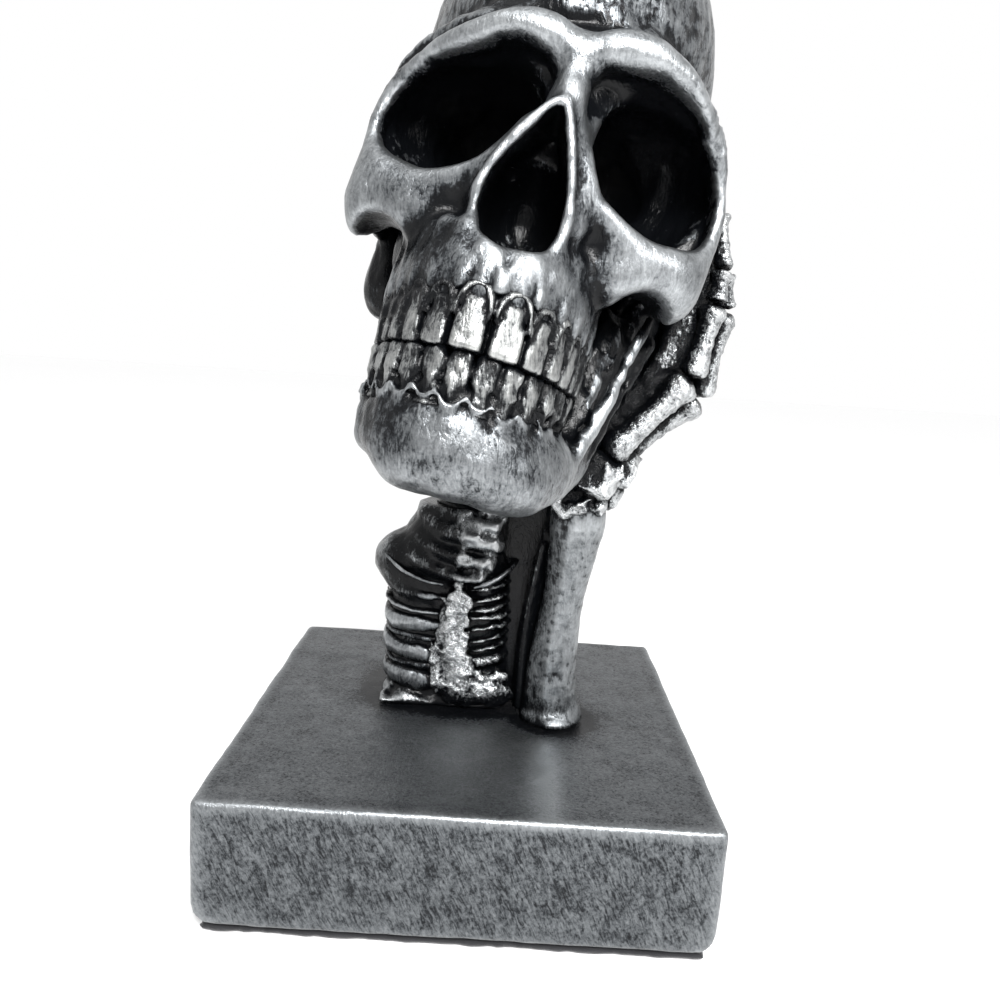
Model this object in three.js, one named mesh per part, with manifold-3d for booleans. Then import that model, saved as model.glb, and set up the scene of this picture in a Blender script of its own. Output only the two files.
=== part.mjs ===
// A figurine for a shelf: a skull leans its cheek on its own bony left hand, on a slim chest and neck,
// on a square plinth. Millimetres, +Z up. The origin is the middle of the underside, and the face looks
// along -Y. Left and right are the figure's own, so its left hand is at +X.
import * as THREE from 'three';
import { mergeVertices } from 'three/addons/utils/BufferGeometryUtils.js';
import Module from 'manifold-3d';

const wasm = await Module();
wasm.setup();

// Driving dimensions.

// Glue line between two castings.
const seam = 0.3;
// Size of one facet on a rounded form.
const facet = 5;

const felt = { thickness: 1.5, margin: 1.2 };
const plinth = { side: 80, height: 20.8, corner: 3.2, edge: 1.7 };

const chest = {
  width: 20.6, depth: 15.4, height: 27, right: 5.2, back: 7.3,
  shoulder: 6, shoulderSpread: 7.4, shoulderRise: 27.6, shoulderHeight: 4.2, collar: 8,
};
const rib = { count: 7, pitch: 2.9, thickness: 1.7, height: 2.3, foot: 3.4, rise: 2.2 };
const breastbone = { radius: 2.4, thickness: 3, top: 22.6, foot: 4.4, lean: 2 };
const collarbone = { radius: 1.35, rise: 5.4, start: 1.9 };
const backbone = { radius: 2.1, bump: 1.7, height: 30, bumps: 8 };

const neck = { count: 7, radius: 7, waist: 5.9, spine: 3, foot: 33.4, right: 2.4, back: 6.8 };
const pin = { radius: 1.2, clearance: 0.3, grip: 9 };

const forearm = { foot: 5.2, shaft: 3.7, head: 4.3, left: 15.1, forward: 2.9 };
const ulna = { radius: 2.5, left: 10.4, back: 1.6 };
const upperArm = { radius: 2.7, elbowLeft: 13.4, elbowBack: 8.4, elbowRise: 3.4 };
const armWeb = { thickness: 3.2, back: 3.4, rise: 45 };

const skull = { height: 100, left: 4.4, back: 5, rise: 82.1, tipBack: 12, tipSide: 12, turn: 1 };
const teeth = { bite: 0.35, inset: 0.7, gapShare: 1.03 };
const shell = { around: 44, rings: 30, steps: 40, paceShare: 0.8, crowdingShare: 1.35 };
const hand = { palm: 14.4, wristBone: 3.4, handBone: 2.1, fingerBone: 1.75, web: 0.6, webEdge: 2.2 };

// Height of the plinth's top face.
const deck = felt.thickness + plinth.height;

// Places on the skull are shares of its height, from chin to crown. They are measured from the point
// between the ear holes, along the skull's own axes: to its left, to its back and up.

// Forms of the cranium, each blended into the ones before it over its soft share.
const craniumShares = [
  { at: [0, 0.01, 0.25], radii: [0.268, 0.37, 0.3], soft: 0 },
  { at: [0, -0.16, 0.28], radii: [0.236, 0.25, 0.235], soft: 0.06 },
  { at: [0.11, 0.13, 0.31], radii: [0.16, 0.21, 0.19], soft: 0.06, pair: true },
  { at: [0, 0.2, 0.12], radii: [0.21, 0.185, 0.18], soft: 0.06 },
  { at: [0, 0.07, -0.02], radii: [0.19, 0.23, 0.11], soft: 0.05 },
  { at: [0, -0.27, 0.03], radii: [0.2, 0.135, 0.18], soft: 0.05 },
  { at: [0.15, -0.27, 0.09], radii: [0.086, 0.09, 0.12], soft: 0.04, pair: true },
  { at: [-0.01, -0.29, -0.12], radii: [0.128, 0.13, 0.09], soft: 0.04 },
  { at: [0, -0.14, -0.06], radii: [0.135, 0.17, 0.09], soft: 0.04 },
  { at: [0.19, -0.295, -0.055], radii: [0.07, 0.07, 0.062], soft: 0.04, pair: true },
  { at: [0.205, 0.05, -0.08], radii: [0.044, 0.06, 0.075], soft: 0.03, pair: true },
];
const ridgeShares = [
  {
    line: [[0, -0.415, 0.175], [0.06, -0.418, 0.202], [0.12, -0.403, 0.21], [0.175, -0.373, 0.196],
      [0.213, -0.336, 0.152], [0.226, -0.314, 0.095], [0.224, -0.306, 0.03]],
    radii: [0.028, 0.03, 0.03, 0.03, 0.03, 0.03, 0.03], soft: 0.05, pair: true,
  },
  {
    line: [[0.225, -0.306, 0.05], [0.226, -0.31, 0], [0.214, -0.32, -0.035], [0.168, -0.345, -0.042],
      [0.11, -0.372, -0.032], [0.075, -0.392, 0.015], [0.058, -0.402, 0.08]],
    radii: [0.03, 0.03, 0.03, 0.028, 0.026, 0.024, 0.02], soft: 0.05, pair: true,
  },
  { line: [[0.01, -0.395, 0.17], [0.02, -0.428, 0.1]], radii: [0.034, 0.028], soft: 0.05 },
  { line: [[0.012, -0.405, 0.12], [0.05, -0.395, -0.02]], radii: [0.026, 0.026], soft: 0.05 },
  { line: [[0.012, -0.405, 0.12], [-0.05, -0.395, -0.02]], radii: [0.026, 0.026], soft: 0.05 },
  {
    line: [[-0.15, -0.22, -0.125], [-0.143, -0.3, -0.125], [-0.118, -0.36, -0.125], [-0.07, -0.4, -0.125],
      [-0.012, -0.41, -0.125], [0.046, -0.4, -0.125], [0.094, -0.36, -0.125], [0.119, -0.3, -0.125],
      [0.126, -0.22, -0.125]],
    radii: [0.03, 0.03, 0.031, 0.033, 0.034, 0.033, 0.031, 0.03, 0.03], soft: 0.04,
  },
];
const cheekArchShares = {
  line: [[0.222, -0.27, -0.065], [0.25, -0.2, -0.045], [0.262, -0.11, -0.025], [0.256, -0.03, -0.005],
    [0.235, 0.04, 0]],
  radii: [0.026, 0.02, 0.018, 0.02, 0.024],
};
const noseRimShares = {
  line: [[0.02, -0.438, 0.099], [0.036, -0.437, 0.05], [0.05, -0.43, -0.005], [0.06, -0.419, -0.05],
    [0.058, -0.415, -0.08], [0.042, -0.42, -0.108], [0.022, -0.43, -0.118], [-0.008, -0.446, -0.106],
    [-0.036, -0.43, -0.118], [-0.058, -0.42, -0.108], [-0.073, -0.415, -0.08], [-0.068, -0.419, -0.05],
    [-0.04, -0.43, -0.005], [-0.008, -0.437, 0.05], [0.018, -0.438, 0.097]],
  radii: [0.01, 0.01, 0.01, 0.011, 0.011, 0.01, 0.01, 0.01, 0.01, 0.01, 0.011, 0.011, 0.01, 0.01, 0.01],
};

const dentShares = [
  { at: [0.368, -0.2, 0.09], radii: [0.115, 0.14, 0.2], soft: 0.1, pair: true },
  { at: [0.187, -0.29, -0.155], radii: [0.057, 0.1, 0.06], soft: 0.025, pair: true },
  { at: [0.22, -0.14, -0.04], radii: [0.034, 0.08, 0.1], soft: 0.02, pair: true },
];
// The cranium is shaped outwards from this point, in rings round the line to the nose.
const craniumMiddleShare = [0, -0.04, 0.14];
const earShares = { at: [0.275, 0.01, 0], radii: [0.04, 0.018, 0.018] };
const orbitShares = [
  { at: [0.141, -0.36, 0.086], radii: [0.102, 0.12, 0.09] },
  { at: [0.11, -0.25, 0.086], radii: [0.07, 0.11, 0.068] },
];
const noseShares = [
  { at: [0.019, -0.42, -0.06], radii: [0.035, 0.11, 0.048] },
  { at: [-0.035, -0.42, -0.06], radii: [0.035, 0.11, 0.048] },
  { at: [0.004, -0.42, 0.005], radii: [0.033, 0.11, 0.065] },
  { at: [0.017, -0.43, 0.055], radii: [0.018, 0.09, 0.036] },
];

const jawShares = {
  line: [[-0.178, -0.085, -0.285], [-0.165, -0.15, -0.33], [-0.148, -0.235, -0.358],
    [-0.127, -0.315, -0.375], [-0.072, -0.37, -0.38], [-0.006, -0.386, -0.375], [0.064, -0.37, -0.38],
    [0.119, -0.315, -0.375], [0.142, -0.235, -0.358], [0.159, -0.15, -0.33], [0.172, -0.085, -0.285]],
  radii: [0.033, 0.033, 0.035, 0.04, 0.044, 0.044, 0.044, 0.04, 0.035, 0.033, 0.033],
  stretch: [1, 1, 1.4],
};
const chinShares = [
  { at: [-0.004, -0.375, -0.398], radii: [0.1, 0.068, 0.056] },
  { at: [0.062, -0.352, -0.408], radii: [0.056, 0.054, 0.04] },
  { at: [-0.072, -0.352, -0.408], radii: [0.056, 0.054, 0.04] },
];
const ramusShares = {
  line: [[0.173, -0.09, -0.29], [0.194, -0.07, -0.17], [0.216, -0.045, -0.065]],
  radii: [0.031, 0.029, 0.022],
  stretch: [0.7, 2.2, 1],
};
const ramusHornShares = {
  line: [[0.17, -0.14, -0.24], [0.186, -0.155, -0.13], [0.2, -0.165, -0.07]],
  radii: [0.03, 0.022, 0.016],
  stretch: [0.7, 1.4, 1],
};
// The casting is solid between the two sides of the jaw.
const jawFillShares = { at: [-0.003, -0.17, -0.28], radii: [0.165, 0.17, 0.11] };

// The tooth rows follow half an ellipse. Widths, heights and thicknesses run from the middle tooth back.
const upperRowShares = {
  middle: [-0.02, -0.264], radii: [0.127, 0.172], foot: -0.245,
  widths: [0.046, 0.038, 0.036, 0.032, 0.032, 0.04, 0.038],
  heights: [0.092, 0.082, 0.086, 0.074, 0.07, 0.066, 0.06],
  thicknesses: [0.03, 0.028, 0.034, 0.04, 0.042, 0.05, 0.05],
};
const lowerRowShares = {
  middle: [-0.02, -0.262], radii: [0.125, 0.166], foot: -0.335,
  widths: [0.027, 0.029, 0.032, 0.031, 0.033, 0.043, 0.04],
  heights: [0.08, 0.08, 0.082, 0.078, 0.074, 0.07, 0.066],
  thicknesses: [0.028, 0.028, 0.032, 0.04, 0.042, 0.05, 0.05],
};
const gumShare = -0.165;
const lowerGumShare = -0.332;
const toothBackShare = -0.185;

// Places on the hand are shares of the skull's height too, upright, from the same point, because the
// hand is made to the cheek that it holds.
const wristShares = [
  { at: [0.125, -0.125, -0.402], size: 1.0 },
  { at: [0.166, -0.085, -0.385], size: 1.05 },
  { at: [0.148, -0.15, -0.358], size: 0.95 },
  { at: [0.19, -0.07, -0.345], size: 1.0 },
];
const fingerShares = [
  [[0.17, -0.145, -0.315], [0.302, -0.14, -0.175], [0.33, -0.14, -0.052], [0.337, -0.135, 0.002],
    [0.323, -0.125, 0.092]],
  [[0.21, -0.08, -0.312], [0.342, -0.08, -0.21], [0.373, -0.08, -0.06], [0.364, -0.076, 0.002],
    [0.34, -0.066, 0.083]],
  [[0.212, -0.03, -0.31], [0.335, -0.02, -0.215], [0.362, -0.015, -0.075], [0.354, -0.01, -0.012],
    [0.334, 0, 0.062]],
  [[0.2, 0.01, -0.315], [0.315, 0.04, -0.225], [0.338, 0.045, -0.11], [0.334, 0.05, -0.055],
    [0.32, 0.056, 0]],
];
const fingerSizes = [1, 0.98, 0.94, 0.84];
const boneProfileShares = [1.22, 0.92, 0.78, 0.82, 1.0, 1.26];
const forearmTopShare = [0.128, -0.108, -0.445];
const templeSideShare = [0.25, 0, 0.07];
const neckTopShare = [0.005, 0.07, -0.14];
const chestBendShare = 0.66;
// Where ribs start beside the breastbone, left and right, and end beside the backbone, on the way round.
const ribStartShares = [0.07, -0.025];
const ribEndShare = 0.93;
const ribSwingShares = [0, 0.17, 0.33, 0.5, 0.67, 0.83, 1];

// Names of the finger bones from the palm outwards, and of the fingers from the thumb's side.
const fingerNames = ['index', 'middle', 'ring', 'little'];
const boneNames = ['proximal', 'middle', 'distal'];

// Finishes: black resin, rubbed with silver where a cloth would reach.
const silvered = (name) => new THREE.MeshStandardMaterial({
  name, color: '#8d9092', roughness: 0.36, metalness: 0.85,
});
const finish = {
  bone: silvered('silver_rubbed_resin'),
  ivory: new THREE.MeshStandardMaterial({
    name: 'silver_rubbed_teeth', color: '#a3a5a4', roughness: 0.3, metalness: 0.85,
  }),
  dark: new THREE.MeshStandardMaterial({
    name: 'black_resin', color: '#15171a', roughness: 0.28, metalness: 0.2,
  }),
  plinth: new THREE.MeshStandardMaterial({
    name: 'brushed_silver_plinth', color: '#6f7375', roughness: 0.42, metalness: 0.8,
  }),
  felt: new THREE.MeshStandardMaterial({ name: 'black_felt', color: '#17171a', roughness: 0.95 }),
  steel: new THREE.MeshStandardMaterial({
    name: 'steel_pin', color: '#9a9da1', roughness: 0.35, metalness: 1,
  }),
};

// Solids. A form is a function of swell: it gives its solid, made larger all over by that much, so that
// the room that a piece needs comes from the same form as the piece.

function toSolid(geometry) {
  const bare = new THREE.BufferGeometry();
  bare.setAttribute('position', geometry.getAttribute('position'));
  bare.setIndex(geometry.getIndex());
  const merged = mergeVertices(bare, seam / 1000);
  const corners = merged.getIndex().array;
  const kept = [];
  for (let i = 0; i < corners.length; i += 3) {
    const [a, b, c] = corners.slice(i, i + 3);
    if (a !== b && b !== c && c !== a) kept.push(a, b, c);
  }
  return new wasm.Manifold(new wasm.Mesh({
    numProp: 3,
    vertProperties: Float32Array.from(merged.getAttribute('position').array),
    triVerts: Uint32Array.from(kept),
  }));
}

function toGeometry(solid) {
  const { vertProperties, triVerts } = solid.getMesh();
  const geometry = new THREE.BufferGeometry();
  geometry.setAttribute('position', new THREE.BufferAttribute(vertProperties, 3));
  geometry.setIndex(new THREE.BufferAttribute(triVerts, 1));
  return geometry;
}

// A form that keeps the solids it has made.
function kept(form) {
  const made = new Map();
  return (swell) => {
    if (!made.has(swell)) made.set(swell, form(swell));
    return made.get(swell);
  };
}

const scaled = (shares, size) => shares.map((share) => share * size);
const onSkull = (shares) => scaled(shares, skull.height);
const mirrored = ([x, y, z]) => [-x, y, z];
const both = (make) => [make((point) => point), make(mirrored)];
const facetsAround = (radius) => THREE.MathUtils.clamp(Math.round(2 * Math.PI * radius / facet), 6, 18);

function egg(centre, radii) {
  return (swell) => {
    const around = facetsAround(Math.max(...radii));
    const ball = new THREE.SphereGeometry(1, around, Math.max(4, Math.round(around * 0.6)));
    ball.rotateX(Math.PI / 2);
    ball.scale(...radii.map((radius) => radius + swell));
    return toSolid(ball.translate(...centre));
  };
}

// Value at a share of the way along a list of values.
function along(values, share) {
  const place = share * (values.length - 1);
  const low = Math.min(Math.floor(place), values.length - 2);
  return THREE.MathUtils.lerp(values[low], values[low + 1], place - low);
}

// A round-ended bar along a curve: a capsule whose rings are moved onto the curve.
function limb(line, radii, { sides = 8, steps = 3 * (line.length - 1), ends = 2, stretch = [1, 1, 1] } = {}) {
  return (swell) => {
    const curve = new THREE.CatmullRomCurve3(line.map((point) => new THREE.Vector3(...point)));
    const frames = curve.computeFrenetFrames(steps);
    const bar = new THREE.CapsuleGeometry(1, steps, ends, sides, steps);
    const places = bar.getAttribute('position');
    for (let i = 0; i < places.count; i += 1) {
      const height = places.getY(i);
      const onAxis = THREE.MathUtils.clamp(height, -steps / 2, steps / 2);
      const share = onAxis / steps + 0.5;
      const ring = Math.round(share * steps);
      const radius = along(radii, share) + swell;
      const offset = new THREE.Vector3()
        .addScaledVector(frames.normals[ring], places.getX(i))
        .addScaledVector(frames.binormals[ring], -places.getZ(i))
        .addScaledVector(frames.tangents[ring], height - onAxis)
        .multiplyScalar(radius)
        .multiply(new THREE.Vector3(...stretch));
      const point = curve.getPointAt(share).add(offset);
      places.setXYZ(i, point.x, point.y, point.z);
    }
    return toSolid(bar);
  };
}

const block = (centre, size) => (swell) => toSolid(
  new THREE.BoxGeometry(...size.map((edge) => edge + 2 * swell)).translate(...centre),
);

// Forms joined, with other forms cut away. A swollen form cuts less away.
function carved(parts, cuts = []) {
  return kept((swell) => {
    let solid = parts.map((part) => part(swell)).reduce((sum, next) => sum.add(next));
    for (const cut of cuts) solid = solid.subtract(cut(-swell));
    return solid;
  });
}

// The same form seen from another frame.
const moved = (form, matrix) => kept((swell) => toSolid(toGeometry(form(swell)).applyMatrix4(matrix)));

// A form with room for its neighbours, one glue line away.
const clearOf = (form, ...neighbours) => kept((swell) => neighbours.reduce(
  (solid, neighbour) => solid.subtract(neighbour(seam - swell)), form(swell),
));

function addPiece(parent, name, form, material) {
  const mesh = new THREE.Mesh(toGeometry(form(0)), material);
  mesh.name = name;
  parent.add(mesh);
  return mesh;
}

const group = new THREE.Group();

// Plinth and felt pad.

function roundedSquare(side, corner) {
  const half = side / 2;
  const inner = half - corner;
  const outline = new THREE.Shape();
  outline.moveTo(inner, -half);
  outline.absarc(inner, -inner, corner, -Math.PI / 2, 0);
  outline.absarc(inner, inner, corner, 0, Math.PI / 2);
  outline.absarc(-inner, inner, corner, Math.PI / 2, Math.PI);
  outline.absarc(-inner, -inner, corner, Math.PI, 1.5 * Math.PI);
  return outline;
}

function plinthBlock() {
  const inner = plinth.side - 2 * plinth.edge;
  return toSolid(new THREE.ExtrudeGeometry(roundedSquare(inner, plinth.corner - plinth.edge), {
    depth: plinth.height - 2 * plinth.edge, curveSegments: 3,
    bevelThickness: plinth.edge, bevelSize: plinth.edge, bevelSegments: 3,
  }).translate(0, 0, plinth.edge));
}

function feltPad() {
  const side = plinth.side - 2 * felt.margin;
  return toSolid(new THREE.ExtrudeGeometry(roundedSquare(side, plinth.corner), {
    depth: felt.thickness, curveSegments: 4, bevelEnabled: false,
  }));
}

// Everything that stands on the plinth is placed from the middle of its top face.
const stand = new THREE.Group();
stand.position.z = deck;
group.add(stand);

// The skull's own frame, from the point between its ear holes.
const head = new THREE.Group();
head.position.set(skull.left, skull.back, skull.rise);
head.rotation.set(
  -THREE.MathUtils.degToRad(skull.tipBack), THREE.MathUtils.degToRad(skull.tipSide),
  -THREE.MathUtils.degToRad(skull.turn), 'YXZ',
);
stand.add(head);
group.updateMatrixWorld(true);
const headToStand = head.matrix;
const standToHead = head.matrix.clone().invert();
const skullToStand = (shares) => new THREE.Vector3(...onSkull(shares)).applyMatrix4(headToStand).toArray();

// A place beside the skull, upright, from the point between its ear holes.
function skullToStandUpright(shares) {
  const [x, y, z] = onSkull(shares);
  return [skull.left + x, skull.back + y, skull.rise + z];
}

// Skull.

const fromShares = ({ at, radii }, side = (point) => point) => egg(side(onSkull(at)), onSkull(radii));
const limbFromShares = ({ line, radii, stretch }, side = (point) => point, options = {}) => limb(
  line.map((point) => side(onSkull(point))), onSkull(radii), { stretch, ...options },
);

// Blended distance. Each form is taken at its place, and a pair also at its mirror image.

const softened = (a, b, soft) => {
  const near = soft > 0 ? Math.max(soft - Math.abs(a - b), 0) / soft : 0;
  return Math.min(a, b) - near * near * soft / 4;
};

function eggDistance(point, { at, radii }) {
  const inner = Math.hypot(...at.map((centre, i) => (point[i] - centre) / radii[i]));
  const slope = Math.hypot(...at.map((centre, i) => (point[i] - centre) / radii[i] ** 2));
  return slope > 0 ? inner * (inner - 1) / slope : -Math.min(...radii);
}

function ridgeDistance(point, { line, radii }) {
  const place = new THREE.Vector3(...point);
  const nearest = new THREE.Vector3();
  let least = Infinity;
  for (let i = 1; i < line.length; i += 1) {
    const span = new THREE.Line3(new THREE.Vector3(...line[i - 1]), new THREE.Vector3(...line[i]));
    const share = span.closestPointToPointParameter(place, true);
    const radius = THREE.MathUtils.lerp(radii[i - 1], radii[i], share);
    least = Math.min(least, span.at(share, nearest).distanceTo(place) - radius);
  }
  return least;
}

function formDistance(point, form) {
  const distance = form.line ? ridgeDistance : eggDistance;
  const here = distance(point, form);
  return form.pair ? softened(here, distance(mirrored(point), form), form.soft / 2) : here;
}

function craniumDistance(point) {
  let sum = Infinity;
  for (const form of [...craniumShares, ...ridgeShares]) {
    sum = softened(sum, formDistance(point, form), Number.isFinite(sum) ? form.soft : 0);
  }
  for (const dent of dentShares) sum = -softened(-sum, formDistance(point, dent), dent.soft);
  return sum;
}

// A sphere whose points are drawn in along their rays until they touch the blended forms. Its pole is at
// the nose, and its rings are closer together on the face.
function craniumShell(swell) {
  const ball = new THREE.SphereGeometry(1, shell.around, shell.rings);
  const places = ball.getAttribute('position');
  for (let i = 0; i < places.count; i += 1) {
    const [x, y, z] = [places.getX(i), places.getY(i), places.getZ(i)];
    const polar = Math.PI * (Math.acos(THREE.MathUtils.clamp(y, -1, 1)) / Math.PI) ** shell.crowdingShare;
    const round = Math.hypot(x, z);
    const out = round > 0 ? Math.sin(polar) / round : 0;
    const ray = [-x * out, -Math.cos(polar), z * out];
    const pointAt = (reach) => ray.map((step, axis) => craniumMiddleShare[axis] + step * reach);
    let reach = 1;
    for (let step = 0; step < shell.steps; step += 1) {
      reach -= shell.paceShare * (craniumDistance(pointAt(reach)) - swell / skull.height);
    }
    places.setXYZ(i, ...onSkull(pointAt(reach)));
  }
  return toSolid(ball);
}

function cranium() {
  const cuts = [
    ...orbitShares.flatMap((shares) => both((side) => fromShares(shares, side))),
    ...noseShares.map((shares) => fromShares(shares)),
    toothRoom(gumShare * skull.height, -1),
  ];
  const late = [
    limbFromShares(noseRimShares, undefined, { steps: 16, sides: 5, ends: 1 }),
    ...both((side) => limbFromShares(cheekArchShares, side, { steps: 5, sides: 7, ends: 1 })),
  ];
  return carved([carved([craniumShell], cuts), ...late], both((side) => fromShares(earShares, side)));
}

// The room in front of the jaw joint, above or below a gum line, belongs to the teeth.
function toothRoom(gum, up) {
  const size = skull.height / 2;
  const back = toothBackShare * skull.height;
  return block([0, back - size / 2, gum + up * size / 2], [size, size, size]);
}

function lowerJaw() {
  const bow = limbFromShares(jawShares, undefined, { steps: 13, sides: 9 });
  const rami = both((side) => limbFromShares(ramusShares, side, { steps: 3, sides: 8, ends: 1 }));
  const horns = both((side) => limbFromShares(ramusHornShares, side, { steps: 2, sides: 6, ends: 1 }));
  return carved([bow, ...chinShares.map((shares) => fromShares(shares)), ...rami, ...horns,
    fromShares(jawFillShares)], [toothRoom(lowerGumShare * skull.height, 1)]);
}

// Middles and headings of the teeth of one row, walked along half an ellipse from its front.
function toothPlaces({ middle, radii, widths }) {
  const [across, back] = onSkull(middle);
  const [halfWidth, halfDepth] = onSkull(radii);
  const arch = new THREE.EllipseCurve(0, 0, halfWidth, halfDepth, -Math.PI / 2, Math.PI / 4);
  const length = arch.getLength();
  let walked = 0;
  return widths.map((share) => {
    const width = share * skull.height;
    const middleShare = (walked + width / 2) / length;
    walked += width;
    const point = arch.getPointAt(middleShare);
    const heading = arch.getTangentAt(middleShare);
    return { across, back, x: point.x, y: point.y, heading: Math.atan2(heading.y, heading.x), width };
  });
}

// A tooth is a plate with chamfered faces, narrower at its root.
function tooth(place, side, height, thickness, foot, rootUp) {
  const half = place.width * teeth.gapShare / 2;
  const edge = Math.min(thickness * 0.3, half * 0.45);
  const root = rootUp ? height - edge : edge;
  const tip = height - root;
  const outline = new THREE.Shape([
    new THREE.Vector2(-half + edge, tip), new THREE.Vector2(half - edge, tip),
    new THREE.Vector2(half * 0.8 - edge, root), new THREE.Vector2(-half * 0.8 + edge, root),
  ]);
  return () => toSolid(new THREE.ExtrudeGeometry(outline, {
    depth: thickness - 2 * edge, bevelThickness: edge, bevelSize: edge, bevelSegments: 1,
  }).translate(0, 0, -thickness / 2 + edge)
    .rotateX(Math.PI / 2)
    .rotateZ(side * place.heading)
    .translate(place.across + side * place.x, place.back + place.y, foot));
}

// The teeth of a row stand in relief on a solid half oval, which stops short of their tips.
function toothRow(shares, rootUp) {
  const places = toothPlaces(shares);
  const foot = shares.foot * skull.height;
  const height = shares.heights[0] * skull.height;
  const parts = [1, -1].flatMap((side) => places.map((place, i) => tooth(
    place, side, shares.heights[i] * skull.height, shares.thicknesses[i] * skull.height, foot, rootUp,
  )));
  const outline = new THREE.Shape([
    ...places.map(({ across, back, x, y }) => new THREE.Vector2(across + x, back + y)),
    ...[...places].reverse().map(({ across, back, x, y }) => new THREE.Vector2(across - x, back + y)),
  ]);
  const plate = new THREE.ExtrudeGeometry(outline, { depth: height - teeth.inset, bevelEnabled: false });
  plate.translate(0, 0, foot + (rootUp ? teeth.inset : 0));
  return [...parts, () => toSolid(plate)];
}

function upperTeeth() {
  return carved(toothRow(upperRowShares, true), [toothRoom(gumShare * skull.height - seam, 1)]);
}

function lowerTeeth() {
  return carved(toothRow(lowerRowShares, false), [
    toothRoom(lowerGumShare * skull.height + seam, -1),
    toothRoom(upperRowShares.foot * skull.height - teeth.bite, 1),
  ]);
}

// Chest.

// Superellipse around the chest's middle; swing runs from the breast, at 0, round the side to the back, at 1.
function chestPoint(swing, side, offset) {
  const angle = (swing - 0.5) * Math.PI;
  const bend = (value) => Math.sign(value) * Math.abs(value) ** chestBendShare;
  return [
    side * (chest.width / 2 + offset) * bend(Math.cos(angle)) - chest.right,
    (chest.depth / 2 + offset) * bend(Math.sin(angle)) + chest.back,
  ];
}

const deckRoom = block([0, 0, -plinth.side / 2], [plinth.side, plinth.side, plinth.side]);

function chestBody() {
  return (swell) => {
    const outline = [];
    for (const side of [1, -1]) {
      for (let i = 0; i < 10; i += 1) {
        const swing = side > 0 ? i / 10 : 1 - i / 10;
        outline.push(new THREE.Vector2(...chestPoint(swing, side, swell)));
      }
    }
    return toSolid(new THREE.ExtrudeGeometry(new THREE.Shape(outline), {
      depth: chest.height + swell, bevelEnabled: false,
    }));
  };
}

const neckFoot = new THREE.Vector3(-neck.right, neck.back, neck.foot);
const neckTop = new THREE.Vector3(...skullToStand(neckTopShare));
const neckAxis = neckTop.clone().sub(neckFoot).normalize();

function chestCore() {
  const shoulders = [1, -1].map((side) => egg(
    [side * chest.shoulderSpread - chest.right, chest.back, chest.shoulderRise],
    [chest.shoulder, chest.shoulder, chest.shoulderHeight],
  ));
  const slope = limb([
    [-chest.right - chest.shoulderSpread * 0.5, chest.back, chest.height * 0.98],
    [-chest.right + chest.shoulder * 0.13, chest.back - chest.shoulder * 0.1, chest.height * 1.07],
    neckFoot.clone().addScaledVector(neckAxis, -neck.radius).toArray(),
  ], [chest.shoulder * 1.1, chest.collar, chest.collar * 0.9], { steps: 4, sides: 12 });
  return carved([chestBody(), ...shoulders, slope], [neckPin(pin.clearance), neckRoom()]);
}

// Flat seat for the lowest neck bone.
function neckRoom() {
  const size = 4 * neck.radius;
  const place = new THREE.Matrix4().compose(
    neckFoot, new THREE.Quaternion().setFromUnitVectors(new THREE.Vector3(0, 0, 1), neckAxis),
    new THREE.Vector3(1, 1, 1),
  );
  return moved(block([0, 0, size / 2 - seam], [size, size, size]), place);
}

function ribBar(level, side) {
  const foot = rib.foot + level * rib.pitch;
  const offset = seam + rib.thickness / 2;
  const line = ribSwingShares.map((share) => {
    const swing = THREE.MathUtils.lerp(side > 0 ? ribStartShares[0] : ribStartShares[1], ribEndShare, share);
    return [...chestPoint(swing, side, offset), foot + rib.rise * swing];
  });
  return limb(line, [rib.thickness / 2, rib.thickness / 2], {
    sides: 5, steps: 7, ends: 1, stretch: [1, 1, rib.height / rib.thickness],
  });
}

function breastPlate() {
  const front = chest.back - chest.depth / 2 - seam - breastbone.thickness / 2;
  const thin = breastbone.thickness / (2 * breastbone.radius);
  return limb([
    [-chest.right + breastbone.lean, front, breastbone.top],
    [-chest.right + breastbone.lean * 1.4, front, (breastbone.top + breastbone.foot) / 2],
    [-chest.right + 2 * breastbone.lean, front, breastbone.foot],
  ], [breastbone.radius * 1.15, breastbone.radius * 0.8, breastbone.radius], {
    steps: 6, stretch: [1, thin, 1],
  });
}

function collarBar(side) {
  const front = chest.back - chest.depth / 2 - seam - collarbone.radius;
  const start = -chest.right + breastbone.lean + side * collarbone.start;
  const reach = chest.shoulderSpread + chest.shoulder;
  const base = breastbone.top + collarbone.radius * 1.5;
  return limb([
    [start, front, base],
    [start + side * reach * 0.35, front, base + collarbone.rise * 0.45],
    [-chest.right + side * reach * 0.8, chest.back - chest.shoulder - 2 * seam, base + collarbone.rise * 0.9],
    [-chest.right + side * reach, chest.back - chest.shoulder * 0.3, base + collarbone.rise],
  ], [collarbone.radius, collarbone.radius * 0.9, collarbone.radius, collarbone.radius * 1.1], {
    steps: 7, sides: 7,
  });
}

function backColumn() {
  const y = chest.back + chest.depth / 2 + seam + backbone.radius;
  const parts = [limb([[-chest.right, y, backbone.radius + seam], [-chest.right, y, backbone.height]],
    [backbone.radius, backbone.radius], { steps: 2 })];
  for (let i = 0; i < backbone.bumps; i += 1) {
    const z = backbone.radius + seam + (i + 0.5) * (backbone.height - backbone.radius) / backbone.bumps;
    parts.push(egg([-chest.right, y + backbone.radius * 0.7, z],
      [backbone.bump * 0.7, backbone.bump, backbone.bump * 0.8]));
  }
  return carved(parts);
}

// Neck: discs on a line from the chest to the skull, each with a spine at its back.

const neckPitch = neckTop.distanceTo(neckFoot) / neck.count;

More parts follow.
